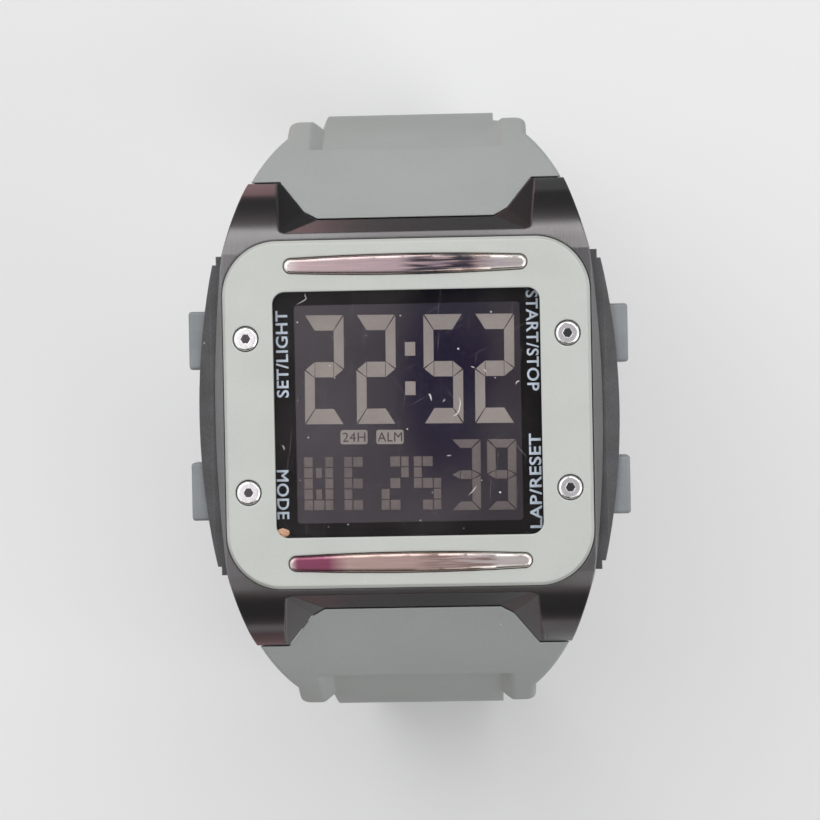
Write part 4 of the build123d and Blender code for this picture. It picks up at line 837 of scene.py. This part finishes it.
fibres = [
    ribbon([(5.43, 1.57), (5.52, 0.9), (5.35, 0.1), (5.05, -0.28), (4.6, -0.44)], 0.07),
    ribbon([(2.16, 1.96), (2.34, 1.88), (2.44, 1.55), (2.5, 1.17)], 0.10),
    ribbon([(6.66, 4.76), (6.9, 4.68), (7.12, 4.55)], 0.07),
    ribbon([(7.96, 4.47), (8.18, 4.32), (8.35, 4.0)], 0.08),
    ribbon([(11.33, 2.76), (11.42, 2.98), (11.6, 3.12), (11.79, 3.12)], 0.07),
    ribbon([(3.65, 1.08), (3.8, 1.22), (3.98, 1.41)], 0.05),
    ribbon([(6.14, -8.78), (6.55, -8.4), (6.85, -8.05), (7.08, -7.69)], 0.05),
    ribbon([(3.94, -4.55), (4.2, -4.55), (4.53, -4.5)], 0.06),
    ribbon([(-13.35, -3.12), (-13.15, -3.25), (-13.06, -3.45), (-13.1, -3.72)], 0.06),
    ribbon([(-10.54, 12.75), (-10.55, 12.49), (-10.42, 12.16), (-10.82, 11.91), (-11.56, 11.53)], 0.05),
]
for x, y, size in (
    (-11.4, 9.7, 0.10), (-8.1, 5.1, 0.08), (-7.6, 3.8, 0.07), (-0.6, 10.2, 0.09), (5.4, 6.6, 0.13),
    (9.2, 3.5, 0.08), (8.9, 10.4, 0.11), (9.5, -8.5, 0.14), (7.6, -7.2, 0.07), (-0.1, -1.7, 0.09),
    (-10.5, -2.4, 0.09), (2.4, -8.4, 0.06), (-4.2, 8.2, 0.05), (1.1, -11.3, 0.07), (-6.5, -11.6, 0.08),
):
    fibres.append(ribbon([(x - size, y), (x, y + 0.2 * size), (x + size, y)], 1.2 * size))
lint_thickness = 0.012 * MM
lint_piece = join_sheets("lens_lint", fibres, lint_thickness, lens_high.z)
lint_piece.data.transform(Matrix.Rotation(-cell_turn, 4, "Z"))
lint_piece.data.materials.clear()
lint_piece.data.materials.append(lint)
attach(lint_piece, "watch_case")

crumb_tan = finish_material(
    "crumb_tan", (0.74, 0.46, 0.30), (0.60, 0.30, 0.18), roughness=0.7, mottle_scale=1500, grain_scale=4000,
    grain_height=0.00002, grain_color=0.5, edge_color=(0.9, 0.75, 0.6))
bpy.ops.object.select_all(action="DESELECT")
bpy.ops.mesh.primitive_ico_sphere_add(subdivisions=3, radius=0.5 * MM, location=(0, 0, 0))
crumb = bpy.context.object
crumb.name = "window_crumb"
bpy.ops.object.mode_set(mode="EDIT")
bpy.ops.transform.resize(value=(1.45, 0.9, 0.35))
bpy.ops.transform.vertex_random(offset=0.12 * MM, seed=4)
bpy.ops.object.mode_set(mode="OBJECT")
crumb_lift = 0.12 * MM  # its middle above the glass, so that it lies on it
crumb.data.transform(Matrix.Translation((-13.35 * MM, -12.35 * MM, lens_high.z + crumb_lift)))
crumb.data.materials.append(crumb_tan)
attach(crumb, "watch_case")

# ------------------------------------------------------------------ bezel, bars and screws
# Satin grey-green moulding with a sloped border, held by four round-head hexagon screws. Two polished bars are
# pressed into its upper and lower rails, with painted reflections in pink, brown and violet along them.
# The moulding's edges, at its border and round the window, are painted paler as a highlight.
satin_moulding = finish_material(
    "satin_moulding", (0.585, 0.605, 0.57), (0.555, 0.575, 0.54), roughness=0.36, roughness_spread=0.12,
    edge_color=(0.86, 0.87, 0.84), edge_amount=0.8, edge_radius=0.0003, mottle_scale=150,
    grain_scale=4200, grain_height=0.000006, grain_color=0.08, dust_amount=0.5)
dress(satin_moulding, "bezel")
bar_reach = 13  # a bar's half length in millimetres, over which its tint runs


def bar_chrome(name, reflection_colours, streaks):
    """Polished metal with painted reflections: its colour changes along the bar, with dark streaks over part of its
    length and a pale painted highlight on its edges.
    """
    material = finish_material(
        name, (0.8, 0.7, 0.68), metallic=1.0, roughness=0.12, roughness_spread=0.1, edge_color=(0.95, 0.94, 0.92),
        edge_amount=0.9, edge_radius=0.0003, mottle_scale=110, grain_scale=420, grain_stretch=(0.6, 7, 1),
        grain_height=0.000006, grain_color=0.3, dust_amount=0.5)
    nodes, links = material.node_tree.nodes, material.node_tree.links
    place = nodes.new("ShaderNodeTexCoord")
    across = nodes.new("ShaderNodeSeparateXYZ")
    links.new(place.outputs["Object"], across.inputs[0])

    def along(low, high):
        """Mask that grows from one place along the bar to another."""
        node = nodes.new("ShaderNodeMapRange")
        node.interpolation_type = "SMOOTHSTEP"
        node.inputs["From Min"].default_value = low * MM
        node.inputs["From Max"].default_value = high * MM
        links.new(across.outputs["X"], node.inputs["Value"])
        return node.outputs["Result"]

    tint = nodes.new("ShaderNodeValToRGB")
    while len(tint.color_ramp.elements) < len(reflection_colours):
        tint.color_ramp.elements.new(0.5)
    for element, (x, colour) in zip(tint.color_ramp.elements, reflection_colours):
        element.position = (x + bar_reach) / (2 * bar_reach)
        element.color = (*colour, 1)
    length = nodes.new("ShaderNodeMapRange")
    length.inputs["From Min"].default_value = -bar_reach * MM
    length.inputs["From Max"].default_value = bar_reach * MM
    links.new(across.outputs["X"], length.inputs["Value"])
    links.new(length.outputs["Result"], tint.inputs["Fac"])
    mapping = nodes.new("ShaderNodeMapping")
    mapping.inputs["Scale"].default_value = (220, 3600, 220)
    lines = nodes.new("ShaderNodeTexNoise")
    lines.inputs["Scale"].default_value = 1
    lines.inputs["Detail"].default_value = 1
    links.new(place.outputs["Object"], mapping.inputs["Vector"])
    links.new(mapping.outputs["Vector"], lines.inputs["Vector"])
    sharp = nodes.new("ShaderNodeMapRange")
    sharp.inputs["From Min"].default_value = 0.42
    sharp.inputs["From Max"].default_value = 0.56
    links.new(lines.outputs["Fac"], sharp.inputs["Value"])
    value = sharp.outputs["Result"]
    for low, high in ((streaks[0], streaks[0] + 2.5), (streaks[1] + 1.5, streaks[1])):
        node = nodes.new("ShaderNodeMath")
        node.operation = "MULTIPLY"
        links.new(value, node.inputs[0])
        links.new(along(low, high), node.inputs[1])
        value = node.outputs[0]
    streaked = nodes.new("ShaderNodeMix")
    streaked.data_type = "RGBA"
    streaked.inputs["B"].default_value = (*streaks[2], 1)
    links.new(value, streaked.inputs["Factor"])
    links.new(tint.outputs["Color"], streaked.inputs["A"])
    group = next(node for node in nodes if node.type == "GROUP")
    links.new(streaked.outputs["Result"], group.inputs["Color"])
    links.new(streaked.outputs["Result"], group.inputs["Second Color"])
    return material


# Colours of the painted reflections along each bar, and of its streaks.
pink, silver, brown, violet = (0.60, 0.48, 0.475), (0.84, 0.79, 0.74), (0.58, 0.43, 0.38), (0.30, 0.09, 0.15)
upper_chrome = bar_chrome(
    "upper_chrome", ((-bar_reach, silver), (-11, pink), (-1, pink), (7, brown), (9.5, silver), (bar_reach, silver)),
    (-1.0, 6.5, (0.10, 0.09, 0.10)))
lower_chrome = bar_chrome(
    "lower_chrome",
    ((-bar_reach, silver), (-11.8, violet), (-8.6, violet), (-6.5, brown), (3, brown), (9, silver),
     (bar_reach, silver)),
    (0.0, 8.0, (0.40, 0.29, 0.26)))
dress(upper_chrome, "upper_bezel_bar")
dress(lower_chrome, "lower_bezel_bar")
bright_screw = finish_material(
    "bright_screw", (0.92, 0.92, 0.91), (0.78, 0.78, 0.78), metallic=1.0, roughness=0.14, roughness_spread=0.1,
    edge_color=(0.95, 0.95, 0.95), edge_amount=0.5, edge_radius=0.0001, mottle_scale=500,
    grain_scale=2600, grain_height=0.000006, grain_color=0.35)
nodes, links = bright_screw.node_tree.nodes, bright_screw.node_tree.links
screw_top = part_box("bezel_screws")[1].z
# Painted shade: the steel is painted dark lower than these depths under the crown, in the hex socket and round the
# domed head's rim.
socket_floor, socket_rim = 0.45 * MM, 0.30 * MM  # depths below the crown between which the steel turns dark
place = nodes.new("ShaderNodeTexCoord")
height = nodes.new("ShaderNodeSeparateXYZ")
socket = nodes.new("ShaderNodeMapRange")
socket.inputs["From Min"].default_value = screw_top - socket_floor
socket.inputs["From Max"].default_value = screw_top - socket_rim
socket_shaded_steel = nodes.new("ShaderNodeMix")
socket_shaded_steel.data_type = "RGBA"
socket_shaded_steel.inputs["A"].default_value = (0.10, 0.10, 0.10, 1)
socket_shaded_steel.inputs["B"].default_value = (0.92, 0.92, 0.91, 1)
links.new(place.outputs["Object"], height.inputs[0])
links.new(height.outputs["Z"], socket.inputs["Value"])
links.new(socket.outputs["Result"], socket_shaded_steel.inputs["Factor"])
group = next(node for node in nodes if node.type == "GROUP")
links.new(socket_shaded_steel.outputs["Result"], group.inputs["Color"])
links.new(socket_shaded_steel.outputs["Result"], group.inputs["Second Color"])
dress(bright_screw, "bezel_screws")

# ------------------------------------------------------------------ pushers
# Four satin grey caps, each on its own shaft with a rubber ring and a spring-steel clip. A coil spring under the
# cap returns it.
pusher_resin = finish_material(
    "pusher_resin", (0.27, 0.29, 0.305), (0.24, 0.255, 0.27), roughness=0.42, roughness_spread=0.15,
    edge_color=(0.45, 0.46, 0.48), edge_amount=0.5, edge_radius=0.00025, mottle_scale=300,
    grain_scale=4200, grain_height=0.00001, grain_color=0.15, dust_amount=0.4)
for use in ("set_light", "mode", "start_stop", "lap_reset"):
    dress(pusher_resin, use + "_button")
    dress(seal_rubber, use + "_seal")
    dress(screw_steel, use + "_retainer", use + "_spring")

# ------------------------------------------------------------------ strap
# Two soft resin halves, moulded in a matte grey with thin paler edges that are a painted highlight, and a keeper of
# the same resin. Spring bars with thinner ends hang them on the case.
strap_resin = finish_material(
    "strap_resin", (0.365, 0.385, 0.375), (0.345, 0.365, 0.355), roughness=0.55, roughness_spread=0.2,
    edge_color=(0.56, 0.58, 0.58), edge_amount=0.55, edge_radius=0.0003, mottle_scale=90,
    grain_scale=3600, grain_height=0.000012, grain_color=0.12, dust_amount=0.7)
dress(strap_resin, "upper_strap", "lower_strap", "strap_keeper")
dress(screw_steel, "upper_spring_bar", "lower_spring_bar", "upper_spring_bar_pins", "lower_spring_bar_pins")

# ------------------------------------------------------------------ buckle
# Brushed steel frame and tongue that turn on one bar through the end of the strap's upper half. The tongue's tip
# lies in a notch of the frame.
buckle_steel = finish_material(
    "buckle_steel", (0.60, 0.60, 0.60), (0.5, 0.5, 0.5), metallic=1.0, roughness=0.28, roughness_spread=0.12,
    edge_color=(0.85, 0.85, 0.85), edge_amount=0.6, edge_radius=0.0003, mottle_scale=200,
    grain_scale=900, grain_stretch=(0.4, 8, 8), grain_height=0.000005, grain_color=0.3)
dress(buckle_steel, "buckle_frame", "buckle_tongue", "buckle_bar")
